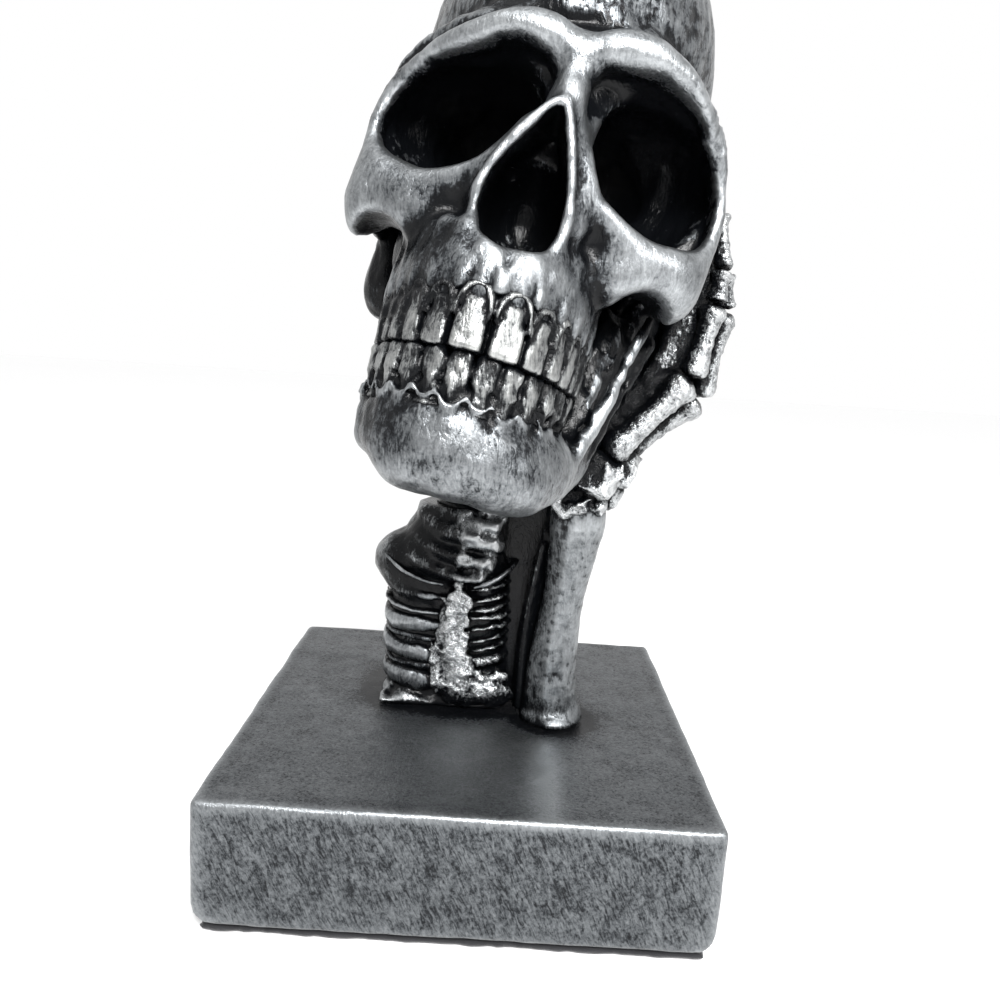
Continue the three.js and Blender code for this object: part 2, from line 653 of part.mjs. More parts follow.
function neckDisc() {
  const half = (neckPitch - seam) / 2;
  const profile = [[0, -half], [neck.radius, -half], [neck.waist, 0], [neck.radius, half], [0, half]];
  return (swell) => {
    const disc = new THREE.LatheGeometry(profile.map(([radius, z]) => new THREE.Vector2(
      radius > 0 ? radius + swell : 0, z + Math.sign(z) * swell,
    )), 12);
    return toSolid(disc.rotateX(Math.PI / 2));
  };
}

function neckBone() {
  const spine = limb([[0, neck.radius * 0.6, 0], [0, neck.radius + neck.spine, -neckPitch * 0.2]],
    [neck.spine * 0.5, neck.spine * 0.36], { steps: 1, sides: 5, ends: 1 });
  const wings = both((side) => limb(
    [side([neck.radius * 0.6, neck.radius * 0.3, 0]), side([neck.radius * 1.12, neck.radius * 0.45, 0])],
    [neck.spine * 0.5, neck.spine * 0.4], { steps: 1, sides: 5, ends: 1 },
  ));
  return carved([neckDisc(), spine, ...wings]);
}

function neckPlace(level) {
  const at = neckFoot.clone().addScaledVector(neckAxis, (level + 0.5) * neckPitch);
  const turn = new THREE.Quaternion().setFromUnitVectors(new THREE.Vector3(0, 0, 1), neckAxis);
  return new THREE.Matrix4().compose(at, turn, new THREE.Vector3(1, 1, 1));
}

function neckPin(clearance) {
  const length = neckTop.distanceTo(neckFoot) + 2 * pin.grip;
  const middle = neckFoot.clone().lerp(neckTop, 0.5);
  const turn = new THREE.Quaternion().setFromUnitVectors(new THREE.Vector3(0, 1, 0), neckAxis);
  const place = new THREE.Matrix4().compose(middle, turn, new THREE.Vector3(1, 1, 1));
  return () => toSolid(new THREE.CylinderGeometry(
    pin.radius + clearance, pin.radius + clearance, length + 2 * clearance, 10,
  ).applyMatrix4(place));
}

// Arm.

const forearmTop = skullToStandUpright(forearmTopShare);

function forearmBone() {
  const [x, y, z] = forearmTop;
  const at = (share) => [
    THREE.MathUtils.lerp(forearm.left, x, share ** 2),
    THREE.MathUtils.lerp(-forearm.forward, y, share ** 2),
    share * z,
  ];
  const bone = limb(
    [[forearm.left, -forearm.forward, -forearm.foot], at(0.08), at(0.3), at(0.6), at(0.85), at(0.97)],
    [forearm.foot, forearm.foot * 0.92, forearm.shaft, forearm.shaft, forearm.head, forearm.head],
    { steps: 12, sides: 12 },
  );
  return carved([bone], [deckRoom, forearmPin(pin.clearance)]);
}

function forearmPin(clearance) {
  const length = forearm.shaft * 4 + pin.grip;
  return () => toSolid(new THREE.CylinderGeometry(
    pin.radius + clearance, pin.radius + clearance, length + 2 * clearance, 10,
  ).rotateX(Math.PI / 2).translate(forearm.left, -forearm.forward, length / 2 - pin.grip));
}

function ulnaBone() {
  const [x, y, z] = forearmTop;
  return carved([limb([
    [ulna.left, ulna.back, -ulna.radius],
    [ulna.left, ulna.back, z * 0.4],
    [x - forearm.head * 0.95, y + forearm.head * 1.2, z * 0.9],
  ], [ulna.radius * 1.15, ulna.radius, ulna.radius * 0.85], { steps: 8 })], [deckRoom]);
}

function upperArmBone() {
  return limb([
    [-chest.right + chest.shoulderSpread + chest.shoulder, chest.back, chest.shoulderRise - upperArm.radius],
    [upperArm.elbowLeft, upperArm.elbowBack, upperArm.elbowRise],
  ], [upperArm.radius, upperArm.radius * 0.85, upperArm.radius, upperArm.radius * 1.2], { steps: 6 });
}

function armWebPlate() {
  const left = forearm.left - forearm.shaft / 2;
  const start = -chest.right + chest.width / 2 + rib.thickness + 2 * seam;
  return block([(left + start) / 2, armWeb.back + armWeb.thickness / 2, armWeb.rise / 2],
    [left - start, armWeb.thickness, armWeb.rise]);
}

// Hand.

const wristForms = wristShares.map(({ at, size }) => egg(skullToStandUpright(at),
  [hand.wristBone * size, hand.wristBone * size, hand.wristBone * size * 0.88]));

function fingerBone(finger, joint) {
  const size = (joint === 0 ? hand.handBone : hand.fingerBone * (1.06 - 0.14 * joint)) * fingerSizes[finger];
  const start = new THREE.Vector3(...skullToStandUpright(fingerShares[finger][joint]));
  const end = new THREE.Vector3(...skullToStandUpright(fingerShares[finger][joint + 1]));
  const direction = end.clone().sub(start).normalize();
  start.addScaledVector(direction, size + seam / 2);
  end.addScaledVector(direction, -size - seam / 2);
  return limb([start.toArray(), start.clone().lerp(end, 0.5).toArray(), end.toArray()],
    scaled(boneProfileShares, size), { steps: 5, sides: 6, ends: 1 });
}

function palmWebPlate() {
  const outer = fingerShares[0].map((point, i) => {
    const [x, , z] = skullToStandUpright(point.map((share, axis) => (share + fingerShares[1][i][axis]) / 2));
    return new THREE.Vector2(x - hand.web, z);
  });
  const inner = [...ramusShares.line, templeSideShare].map((point) => {
    const [x, , z] = skullToStand(point);
    return new THREE.Vector2(x, z);
  });
  const outline = new THREE.Shape([...outer, ...inner.reverse()]);
  const front = skullToStandUpright(fingerShares[0][1])[1] + hand.handBone + seam;
  const plate = new THREE.ExtrudeGeometry(outline, {
    depth: hand.palm - 2 * hand.webEdge, bevelThickness: hand.webEdge, bevelSize: hand.webEdge,
    bevelOffset: -hand.webEdge, bevelSegments: 2,
  });
  plate.rotateX(Math.PI / 2).translate(0, front + hand.palm - hand.webEdge, 0);
  return () => toSolid(plate);
}

// Assembly. A piece is cut clear of the whole forms of the pieces that were set in place before it.

const craniumForm = cranium();
const jawWhole = lowerJaw();
const craniumInStand = moved(craniumForm, headToStand);
const jawInStand = moved(jawWhole, headToStand);
const coreForm = chestCore();
const breastForm = breastPlate();
const backForm = backColumn();
const forearmForm = forearmBone();
const ulnaForm = ulnaBone();
const upperArmForm = upperArmBone();
const ribForms = [1, -1].map((side) => Array.from({ length: rib.count }, (_, level) => ribBar(level, side)));
const collarForms = [1, -1].map(collarBar);
const neckForms = Array.from({ length: neck.count }, (_, level) => moved(neckBone(), neckPlace(level)));

addPiece(group, 'felt_pad', feltPad, finish.felt);
const pinInPlinth = moved(forearmPin(pin.clearance), new THREE.Matrix4().makeTranslation(0, 0, plinth.height));
const base = addPiece(group, 'plinth', carved([plinthBlock], [pinInPlinth]), finish.plinth);
base.position.z = felt.thickness;

addPiece(stand, 'chest_core', coreForm, finish.dark);
addPiece(stand, 'breastbone', breastForm, finish.bone);
addPiece(stand, 'backbone', backForm, finish.bone);
['left', 'right'].forEach((name, i) => {
  addPiece(stand, `collarbone_${name}`, clearOf(collarForms[i], coreForm, breastForm), finish.bone);
  ribForms[i].forEach((form, level) => {
    addPiece(stand, `rib_${name}_${level + 1}`, clearOf(form, breastForm, backForm, coreForm), finish.bone);
  });
});

neckForms.forEach((form, level) => {
  const bone = carved([clearOf(form, craniumInStand, jawInStand, coreForm)], [neckPin(pin.clearance)]);
  addPiece(stand, `neck_bone_${level + 1}`, bone, finish.bone);
});
addPiece(stand, 'neck_pin', neckPin(0), finish.steel);

addPiece(head, 'cranium', carved([craniumForm], [moved(neckPin(pin.clearance), standToHead)]), finish.bone);
addPiece(head, 'lower_jaw', clearOf(jawWhole, craniumForm), finish.bone);
addPiece(head, 'upper_teeth', upperTeeth(), finish.ivory);
addPiece(head, 'lower_teeth', lowerTeeth(), finish.ivory);

addPiece(stand, 'forearm_bone', forearmForm, finish.bone);
addPiece(stand, 'forearm_pin', forearmPin(0), finish.steel);
addPiece(stand, 'ulna', clearOf(ulnaForm, forearmForm), finish.dark);
addPiece(stand, 'upper_arm', clearOf(upperArmForm, ulnaForm, forearmForm, coreForm, collarForms[0],
  ...ribForms[0]), finish.dark);

const besideHand = [craniumInStand, jawInStand, forearmForm, ulnaForm];
wristForms.forEach((form, i) => {
  addPiece(stand, `wrist_bone_${i + 1}`, clearOf(form, ...besideHand, ...wristForms.slice(0, i)), finish.bone);
});
const handForms = fingerNames.map((finger, i) => ['palm', ...boneNames].map((bone, joint) => fingerBone(i, joint)));
handForms.forEach((bones, i) => bones.forEach((form, joint) => {
  const name = `${fingerNames[i]}_${['palm', ...boneNames][joint]}_bone`;
  const before = joint > 0 ? [bones[joint - 1]] : wristForms;
  const beside = i > 0 ? handForms[i - 1] : [];
  addPiece(stand, name, clearOf(form, craniumInStand, jawInStand, ...before, ...beside), finish.bone);
}));

const handRoom = [...wristForms, ...handForms.flat()];
const palmForm = palmWebPlate();
addPiece(stand, 'palm_web', clearOf(palmForm, ...besideHand, ...handRoom), finish.dark);
addPiece(stand, 'arm_web', clearOf(armWebPlate(), coreForm, ulnaForm, forearmForm, upperArmForm, jawInStand,
  palmForm, collarForms[0], ...wristForms, ...ribForms[0], ...neckForms), finish.dark);

export default group;
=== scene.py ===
"""Visual model of a cast skull figurine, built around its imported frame.

A skull leans its cheek on its own bony left hand, on a slim chest and neck, on a square plinth. The
casting is black resin rubbed with silver paint, so that ridges are bright and hollows stay black.
Sizes in the classes are millimetres. Meshes, lamps and the camera are in metres, as the frame is.
"""

import logging
import math
from dataclasses import dataclass, field
from enum import Enum
from typing import Any, Callable, Iterable, Sequence

import bpy
import numpy as np
import openvdb
from mathutils import Matrix, Vector

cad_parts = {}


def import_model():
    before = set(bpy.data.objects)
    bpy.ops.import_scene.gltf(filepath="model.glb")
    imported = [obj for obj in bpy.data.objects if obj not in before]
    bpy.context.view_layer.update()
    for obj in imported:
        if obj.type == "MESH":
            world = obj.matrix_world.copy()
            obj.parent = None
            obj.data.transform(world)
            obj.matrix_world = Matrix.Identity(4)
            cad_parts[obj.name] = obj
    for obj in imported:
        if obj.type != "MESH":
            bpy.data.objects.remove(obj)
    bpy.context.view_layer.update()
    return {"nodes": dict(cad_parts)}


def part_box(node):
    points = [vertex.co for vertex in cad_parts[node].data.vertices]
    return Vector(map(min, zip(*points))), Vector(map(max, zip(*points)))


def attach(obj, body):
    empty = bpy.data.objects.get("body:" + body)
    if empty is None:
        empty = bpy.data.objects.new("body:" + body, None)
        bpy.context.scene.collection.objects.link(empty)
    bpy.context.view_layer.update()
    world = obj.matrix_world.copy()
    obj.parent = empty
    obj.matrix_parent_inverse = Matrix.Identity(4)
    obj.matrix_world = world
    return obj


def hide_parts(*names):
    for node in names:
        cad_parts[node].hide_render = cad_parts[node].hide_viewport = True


Point = tuple[float, float, float]
MM = 0.001
# Distances from a skin are kept up to this many millimetres.
FAR = 6.0
TINY = 1e-9
THINNEST = 0.05
# The plinth's top and the point between the ear holes, which the hand is measured from too.
DECK = 22.3
EARS: Point = (4.4, 5.0, 104.4)
log = logging.getLogger("skull_figurine")


def turning(degrees: Point) -> np.ndarray:
    """Gives the matrix that turns about X, then Y, then Z.

    Args:
        degrees: the three angles.

    Returns:
        A 3 by 3 matrix.
    """
    ax, ay, az = (math.radians(angle) for angle in degrees)
    about_x = np.array([[1, 0, 0], [0, math.cos(ax), -math.sin(ax)], [0, math.sin(ax), math.cos(ax)]])
    about_y = np.array([[math.cos(ay), 0, math.sin(ay)], [0, 1, 0], [-math.sin(ay), 0, math.cos(ay)]])
    about_z = np.array([[math.cos(az), -math.sin(az), 0], [math.sin(az), math.cos(az), 0], [0, 0, 1]])
    return about_z @ about_y @ about_x


def length_of(vectors: np.ndarray) -> np.ndarray:
    """Gives the length of each vector of an array."""
    return np.sqrt((vectors * vectors).sum(-1))


def softened(a: np.ndarray, b: np.ndarray, soft: float) -> np.ndarray:
    """Joins two distance fields with a fillet.

    Args:
        a: one field.
        b: the other field.
        soft: how wide the fillet is.

    Returns:
        The joined field.
    """
    if soft <= 0:
        return np.minimum(a, b)
    near = np.maximum(soft - np.abs(a - b), 0) / soft
    return np.minimum(a, b) - near * near * soft * 0.25


def eased(low: float, high: float, values: np.ndarray) -> np.ndarray:
    """Gives 0 below low, 1 above high, and an S-curve between them."""
    share = np.clip((values - low) / (high - low), 0, 1)
    return share * share * (3 - 2 * share)


def between(before: np.ndarray, start: np.ndarray, end: np.ndarray, after: np.ndarray,
            share: float) -> np.ndarray:
    """Gives a place on the smooth curve from start to end, which its two neighbours bend.

    Args:
        before: the point before the stretch.
        start: the stretch's first point.
        end: the stretch's last point.
        after: the point after the stretch.
        share: how far along the stretch, from 0 to 1.

    Returns:
        The place.
    """
    return 0.5 * (2 * start + (end - before) * share
                  + (2 * before - 5 * start + 4 * end - after) * share ** 2
                  + (3 * start - before - 3 * end + after) * share ** 3)


def through(line: Sequence[Point], radii: Sequence[float], steps: int) -> tuple[np.ndarray, np.ndarray]:
    """Puts more points on a smooth curve through the points of a line.

    Args:
        line: the points.
        radii: the radius at each point.
        steps: how many points each stretch gets.

    Returns:
        The points and the radii.
    """
    data = np.column_stack([np.array(line, float), np.array(radii, float)])
    if len(data) < 3:
        return data[:, :3], data[:, 3]
    data = np.vstack([2 * data[0] - data[1], data, 2 * data[-1] - data[-2]])
    shares = np.linspace(0, 1, steps, endpoint=False)
    rows = [between(*four, share) for four in zip(data, data[1:], data[2:], data[3:]) for share in shares]
    dense = np.array([*rows, data[-2]])
    return dense[:, :3], np.maximum(dense[:, 3], THINNEST)


def away_from(x: np.ndarray, z: np.ndarray, start: np.ndarray, end: np.ndarray) -> np.ndarray:
    """Gives the distance of places on the front view from a straight stretch.

    Args:
        x: how far right the places are.
        z: how high the places are.
        start: the stretch's first end.
        end: the stretch's other end.

    Returns:
        One distance for each place.
    """
    span = np.array(end, float) - np.array(start, float)
    share = np.clip(((x - start[0]) * span[0] + (z - start[1]) * span[1]) / max(span @ span, TINY), 0, 1)
    return np.hypot(x - start[0] - share * span[0], z - start[1] - share * span[1]).astype(np.float32)


@dataclass(frozen=True)
class Grain:
    """Smooth lattice noise, the same on each run."""

    seed: int
    count: int = 32
    shift: float = 7.3

    def at(self, points: np.ndarray, size: float, stretch: Point = (1, 1, 1)) -> np.ndarray:
        """Gives the noise, from -1 to 1, at points.

        Args:
            points: where.
            size: how far apart its lumps are.
            stretch: how much longer they are along each axis.

        Returns:
            One value for each point.
        """
        lattice = np.random.default_rng(self.seed).random((self.count,) * 3).astype(np.float32) * 2 - 1
        place = points / (size * np.array(stretch, np.float32)) + self.shift
        low = np.floor(place).astype(np.int32)
        part = (place - low).astype(np.float32)
        part = part * part * (3 - 2 * part)
        total = np.zeros(points.shape[:-1], np.float32)
        for corner in np.ndindex(2, 2, 2):
            weight = np.ones(points.shape[:-1], np.float32)
            for axis, up in enumerate(corner):
                weight *= part[..., axis] if up else 1 - part[..., axis]
            i, j, k = (((low[..., axis] + corner[axis]) % self.count) for axis in range(3))
            total += weight * lattice[i, j, k]
        return total


def box_round(centre: Point, half: Point, turn: Point) -> tuple[np.ndarray, np.ndarray]:
    """Gives the lowest and highest corner of the box round a form."""
    reach = np.abs(turning(turn)) @ np.array(half)
    return np.array(centre) - reach, np.array(centre) + reach


def seen_from(points: np.ndarray, centre: Point, turn: Point) -> np.ndarray:
    """Gives places measured from a form's centre, along its own axes."""
    return (points - np.array(centre, np.float32)) @ turning(turn).astype(np.float32)


@dataclass(frozen=True)
class Egg:
    """An ellipsoid of clay."""

    centre: Point
    radii: Point
    turn: Point = (0, 0, 0)

    def reach(self) -> tuple[np.ndarray, np.ndarray]:
        """Gives the lowest and highest corner of its box.

        Returns:
            The two corners.
        """
        return box_round(self.centre, self.radii, self.turn)

    def distance(self, points: np.ndarray) -> np.ndarray:
        """Gives the distance of points from its skin, negative inside.

        Args:
            points: where, in the frame that the form is modelled in.

        Returns:
            One distance for each point.
        """
        away = seen_from(points, self.centre, self.turn)
        radii = np.array(self.radii, np.float32)
        inner, slope = length_of(away / radii), length_of(away / radii ** 2)
        return np.where(slope > TINY, inner * (inner - 1) / np.maximum(slope, TINY), -radii.min())


@dataclass(frozen=True)
class Strand:
    """A rolled string of clay along a curve."""

    line: Sequence[Point]
    radii: Sequence[float]
    stretch: Point = (1, 1, 1)
    steps: int = 5

    def reach(self) -> tuple[np.ndarray, np.ndarray]:
        """Gives the lowest and highest corner of its box.

        Returns:
            The two corners.
        """
        points, radii = through(self.line, self.radii, self.steps)
        most = radii.max() * max(self.stretch)
        return points.min(0) - most, points.max(0) + most

    def distance(self, points: np.ndarray) -> np.ndarray:
        """Gives the distance of points from its skin, negative inside.

        Args:
            points: where, in the frame that the form is modelled in.

        Returns:
            One distance for each point.
        """
        line, radii = through(self.line, self.radii, self.steps)
        stretch = np.array(self.stretch, np.float32)
        place, line = points / stretch, (line / stretch).astype(np.float32)
        least = np.full(points.shape[:-1], np.inf, np.float32)
        for start, end, thick, thin in zip(line, line[1:], radii, radii[1:]):
            span = end - start
            share = np.clip(((place - start) @ span) / max(float(span @ span), TINY), 0, 1)
            away = length_of(place - start - share[..., None] * span)
            least = np.minimum(least, away - (thick + (thin - thick) * share))
        return least * float(stretch.min())


@dataclass(frozen=True)
class Slab:
    """A block of clay with rounded edges."""

    centre: Point
    half: Point
    edge: float
    turn: Point = (0, 0, 0)

    def reach(self) -> tuple[np.ndarray, np.ndarray]:
        """Gives the lowest and highest corner of its box.

        Returns:
            The two corners.
        """
        return box_round(self.centre, self.half, self.turn)

    def distance(self, points: np.ndarray) -> np.ndarray:
        """Gives the distance of points from its skin, negative inside.

        Args:
            points: where, in the frame that the form is modelled in.

        Returns:
            One distance for each point.
        """
        away = seen_from(points, self.centre, self.turn)
        out = np.abs(away) - (np.array(self.half, np.float32) - self.edge)
        return length_of(np.maximum(out, 0)) + np.minimum(out.max(-1), 0) - self.edge


@dataclass(frozen=True)
class Punch:
    """A hole with a drawn outline, straight in from the front."""

    outline: Sequence[tuple[float, float]]
    back: float
    front: float = -60.0

    def rim(self) -> np.ndarray:
        """Gives more points on a smooth closed curve through the outline.

        Returns:
            The points, as rows of x and z.
        """
        data = np.array(self.outline, float)
        fours = [[data[(i + k) % len(data)] for k in (-1, 0, 1, 2)] for i in range(len(data))]
        return np.array([between(*four, share) for four in fours for share in (0, 0.25, 0.5, 0.75)])

    def reach(self) -> tuple[np.ndarray, np.ndarray]:
        """Gives the lowest and highest corner of its box.

        Returns:
            The two corners.
        """
        rim = self.rim()
        low, high = rim.min(0), rim.max(0)
        return np.array([low[0], self.front, low[1]]), np.array([high[0], self.back, high[1]])

    def distance(self, points: np.ndarray) -> np.ndarray:
        """Gives the distance of points from its wall, negative inside.

        Args:
            points: where, in the frame that the form is modelled in.

        Returns:
            One distance for each point.
        """
        rim = self.rim().astype(np.float32)
        x, z = points[:, 0, :, 0], points[:, 0, :, 2]
        least, inside = np.full(x.shape, np.inf, np.float32), np.zeros(x.shape, bool)
        for start, end in zip(rim, np.roll(rim, -1, 0)):
            least = np.minimum(least, away_from(x, z, start, end))
            crosses = (start[1] > z) != (end[1] > z)
            rise = end[1] - start[1] if end[1] != start[1] else 1.0
            inside ^= crosses & (x < (end[0] - start[0]) * (z - start[1]) / rise + start[0])
        wall = np.where(inside, -least, least)[:, None, :]
        return np.maximum(wall, points[..., 1] - self.back)


@dataclass(frozen=True)
class Stroke:
    """A ridge drawn on the front of a block, or a groove where its height is below zero."""

    line: Sequence[tuple[float, float]]
    width: float
    height: float
    back: float

    def raised(self, points: np.ndarray) -> np.ndarray:
        """Gives how far it raises the skin at points.

        Args:
            points: where, in the frame that the form is modelled in.

        Returns:
            One height for each point.
        """
        x, z = points[:, 0, :, 0], points[:, 0, :, 2]
        least = np.full(x.shape, np.inf, np.float32)
        for start, end in zip(self.line, self.line[1:]):
            least = np.minimum(least, away_from(x, z, np.array(start), np.array(end)))
        drawn = self.height * np.exp(-(least / self.width) ** 2)
        return drawn[:, None, :] * (1 - eased(self.back - 2, self.back, points[..., 1]))


Form = Egg | Strand | Slab | Punch


class Clay:
    """A block of space in which forms are added and cut, with fillets where they meet."""

    def __init__(self, low: Point, high: Point, cell: float) -> None:
        """Makes an empty block.

        Args:
            low: its lowest corner.
            high: its highest corner.
            cell: the size of its cells.
        """
        self.cell = cell * 1.0
        counts = [int(math.ceil((b - a) / self.cell)) + 1 for a, b in zip(low, high)]
        self.axes = [(a + self.cell * np.arange(n)).astype(np.float32) for a, n in zip(low, counts)]
        self.values = np.full(counts, FAR, np.float32)
        self.everywhere = tuple(slice(0, count) for count in counts)

    def _window(self, low: np.ndarray, high: np.ndarray) -> tuple[slice, slice, slice]:
        """Gives the cells between two corners.

        Args:
            low: the lowest corner.
            high: the highest corner.

        Returns:
            One slice for each axis.
        """
        return tuple(
            slice(int(np.searchsorted(axis, a)), int(np.searchsorted(axis, b)))
            for axis, a, b in zip(self.axes, low, high)
        )

    def _points(self, window: tuple[slice, slice, slice]) -> np.ndarray:
        """Gives the places of cells."""
        return np.stack(np.meshgrid(*(a[w] for a, w in zip(self.axes, window)), indexing="ij"), -1)

    def _work(self, form: Form, soft: float, twin: bool, sign: float) -> None:
        """Adds a form where sign is 1, and cuts it where sign is -1.

        Args:
            form: the form.
            soft: how wide the fillet is.
            twin: whether its mirror image is added or cut too.
            sign: 1 or -1.
        """
        for side in (1, -1) if twin else (1,):
            low, high = form.reach()
            if side < 0:
                low, high = np.array([-high[0], *low[1:]]), np.array([-low[0], *high[1:]])
            window = self._window(low - soft - 2 * self.cell, high + soft + 2 * self.cell)
            if any(w.stop <= w.start for w in window):
                continue
            distance = form.distance(self._points(window) * np.array([side, 1, 1], np.float32))
            self.values[window] = sign * softened(sign * self.values[window], distance, soft)

    def add(self, form: Form, soft: float = 1.0, twin: bool = False) -> None:
        """Adds a form, and its mirror image where twin is true."""
        self._work(form, soft, twin, 1)

    def cut(self, form: Form, soft: float = 0.6, twin: bool = False) -> None:
        """Cuts a form away, and its mirror image where twin is true."""
        self._work(form, soft, twin, -1)

    def keep(self, form: Form) -> None:
        """Cuts away what lies outside a form."""
        self.values = np.maximum(self.values, form.distance(self._points(self.everywhere)))

    def draw(self, stroke: Stroke) -> None:
        """Draws a ridge or a groove.

        Args:
            stroke: its line and section.
        """
        line, spread = np.array(stroke.line), 2.4 * stroke.width
        low, high = line.min(0) - spread, line.max(0) + spread
        window = self._window(np.array([low[0], -1e3, low[1]]), np.array([high[0], stroke.back, high[1]]))
        if all(w.stop > w.start for w in window):
            self.values[window] -= stroke.raised(self._points(window))

    def roughen(self, change: Callable[[np.ndarray], np.ndarray]) -> None:
        """Raises the skin by what change gives for each place."""
        self.values -= change(self._points(self.everywhere))

    def trim(self, low: Point, high: Point) -> None:
        """Cuts away what lies outside a box.

        Args:
            low: the box's lowest corner.
            high: the box's highest corner.
        """
        for axis, (a, b) in enumerate(zip(low, high)):
            shape = [1, 1, 1]
            shape[axis] = -1
            outside = np.maximum(a - self.axes[axis], self.axes[axis] - b).reshape(shape)
            self.values = np.maximum(self.values, outside)

    def skin(self, rounds: int = 2) -> tuple[np.ndarray, np.ndarray]:
        """Gives the skin's points and four-sided faces.

        Args:
            rounds: how often each point is drawn towards its neighbours.

        Returns:
            The points and the corners of each face.
        """
        rim = np.pad(self.values, 1, constant_values=FAR)
        grid = openvdb.FloatGrid(FAR)
        grid.copyFromArray(np.ascontiguousarray(np.clip(rim, -FAR, FAR)), tolerance=0.0)
        points, quads = grid.convertToQuads(isovalue=0.0)
        origin = np.array([float(axis[0]) for axis in self.axes])
        points = (points - 1) * self.cell + origin
        edges = np.concatenate([quads[:, [i, (i + 1) % 4]] for i in range(4)])
        ends = np.concatenate([edges, edges[:, ::-1]])
        near = np.bincount(ends[:, 0], minlength=len(points))[:, None]
        for _ in range(rounds):
            total = np.stack([
                np.bincount(ends[:, 0], weights=points[ends[:, 1], axis], minlength=len(points))
                for axis in range(3)
            ], -1)
            points = 0.5 * points + 0.5 * total / np.maximum(near, 1)
        return points, quads


@dataclass(frozen=True)
class Pose:
    """Where a frame of its own stands in the part's frame."""

    turn: np.ndarray
    origin: np.ndarray

    def apply(self, points: np.ndarray) -> np.ndarray:
        """Moves points from this frame into the part's frame."""
        return np.asarray(points) @ self.turn.T + self.origin

    def undo(self, points: np.ndarray) -> np.ndarray:
        """Moves points from the part's frame into this frame."""
        return (points - self.origin) @ self.turn


HERE = Pose(np.eye(3), np.zeros(3))


def srgb(code: str) -> tuple[float, float, float, float]:
    """Turns an sRGB hex value into linear red, green, blue and alpha."""
    channels = [int(code[i:i + 2], 16) / 255 for i in (1, 3, 5)]
    return (*(c / 12.92 if c <= 0.04045 else ((c + 0.055) / 1.055) ** 2.4 for c in channels), 1.0)


def add_node(tree: bpy.types.NodeTree, kind: str, sockets: dict[Any, Any] | None = None,
             **settings: Any) -> bpy.types.Node:
    """Adds a node to a tree.

    Args:
        tree: the tree.
        kind: the node's type name.
        sockets: for input names or numbers, a value or the output socket that feeds it.
        settings: the node's own settings.

    Returns:
        The node.
    """
    made = tree.nodes.new(kind)
    for name, value in settings.items():
        setattr(made, name, value)
    for name, value in (sockets or {}).items():
        if isinstance(value, bpy.types.NodeSocket):
            tree.links.new(value, made.inputs[name])
        else:
            made.inputs[name].default_value = value
    return made


def start_material(name: str, per_mm: Point, lean: Point = (0, 0, 0)) -> tuple[
        bpy.types.Material, bpy.types.NodeTree, bpy.types.NodeSocket]:
    """Starts a material whose patterns lie on object coordinates, in millimetres.

    Args:
        name: its name.
        per_mm: how many units of a pattern a millimetre holds along each axis.
        lean: how far the patterns are turned, in degrees.

    Returns:
        The material, its tree and the coordinates.
    """
    made = bpy.data.materials.new(name)
    made.use_nodes = True
    tree = made.node_tree
    tree.nodes.clear()
    place = add_node(tree, "ShaderNodeTexCoord").outputs["Object"]
    return made, tree, add_node(tree, "ShaderNodeMapping", {
        "Vector": place, "Scale": tuple(count / MM for count in per_mm),
        "Rotation": tuple(math.radians(angle) for angle in lean),
    }).outputs["Vector"]


def end_material(tree: bpy.types.NodeTree, sockets: dict[str, Any]) -> None:
    """Adds the shader with what feeds it, and the output."""
    shader = add_node(tree, "ShaderNodeBsdfPrincipled", sockets)
    add_node(tree, "ShaderNodeOutputMaterial", {"Surface": shader.outputs["BSDF"]})


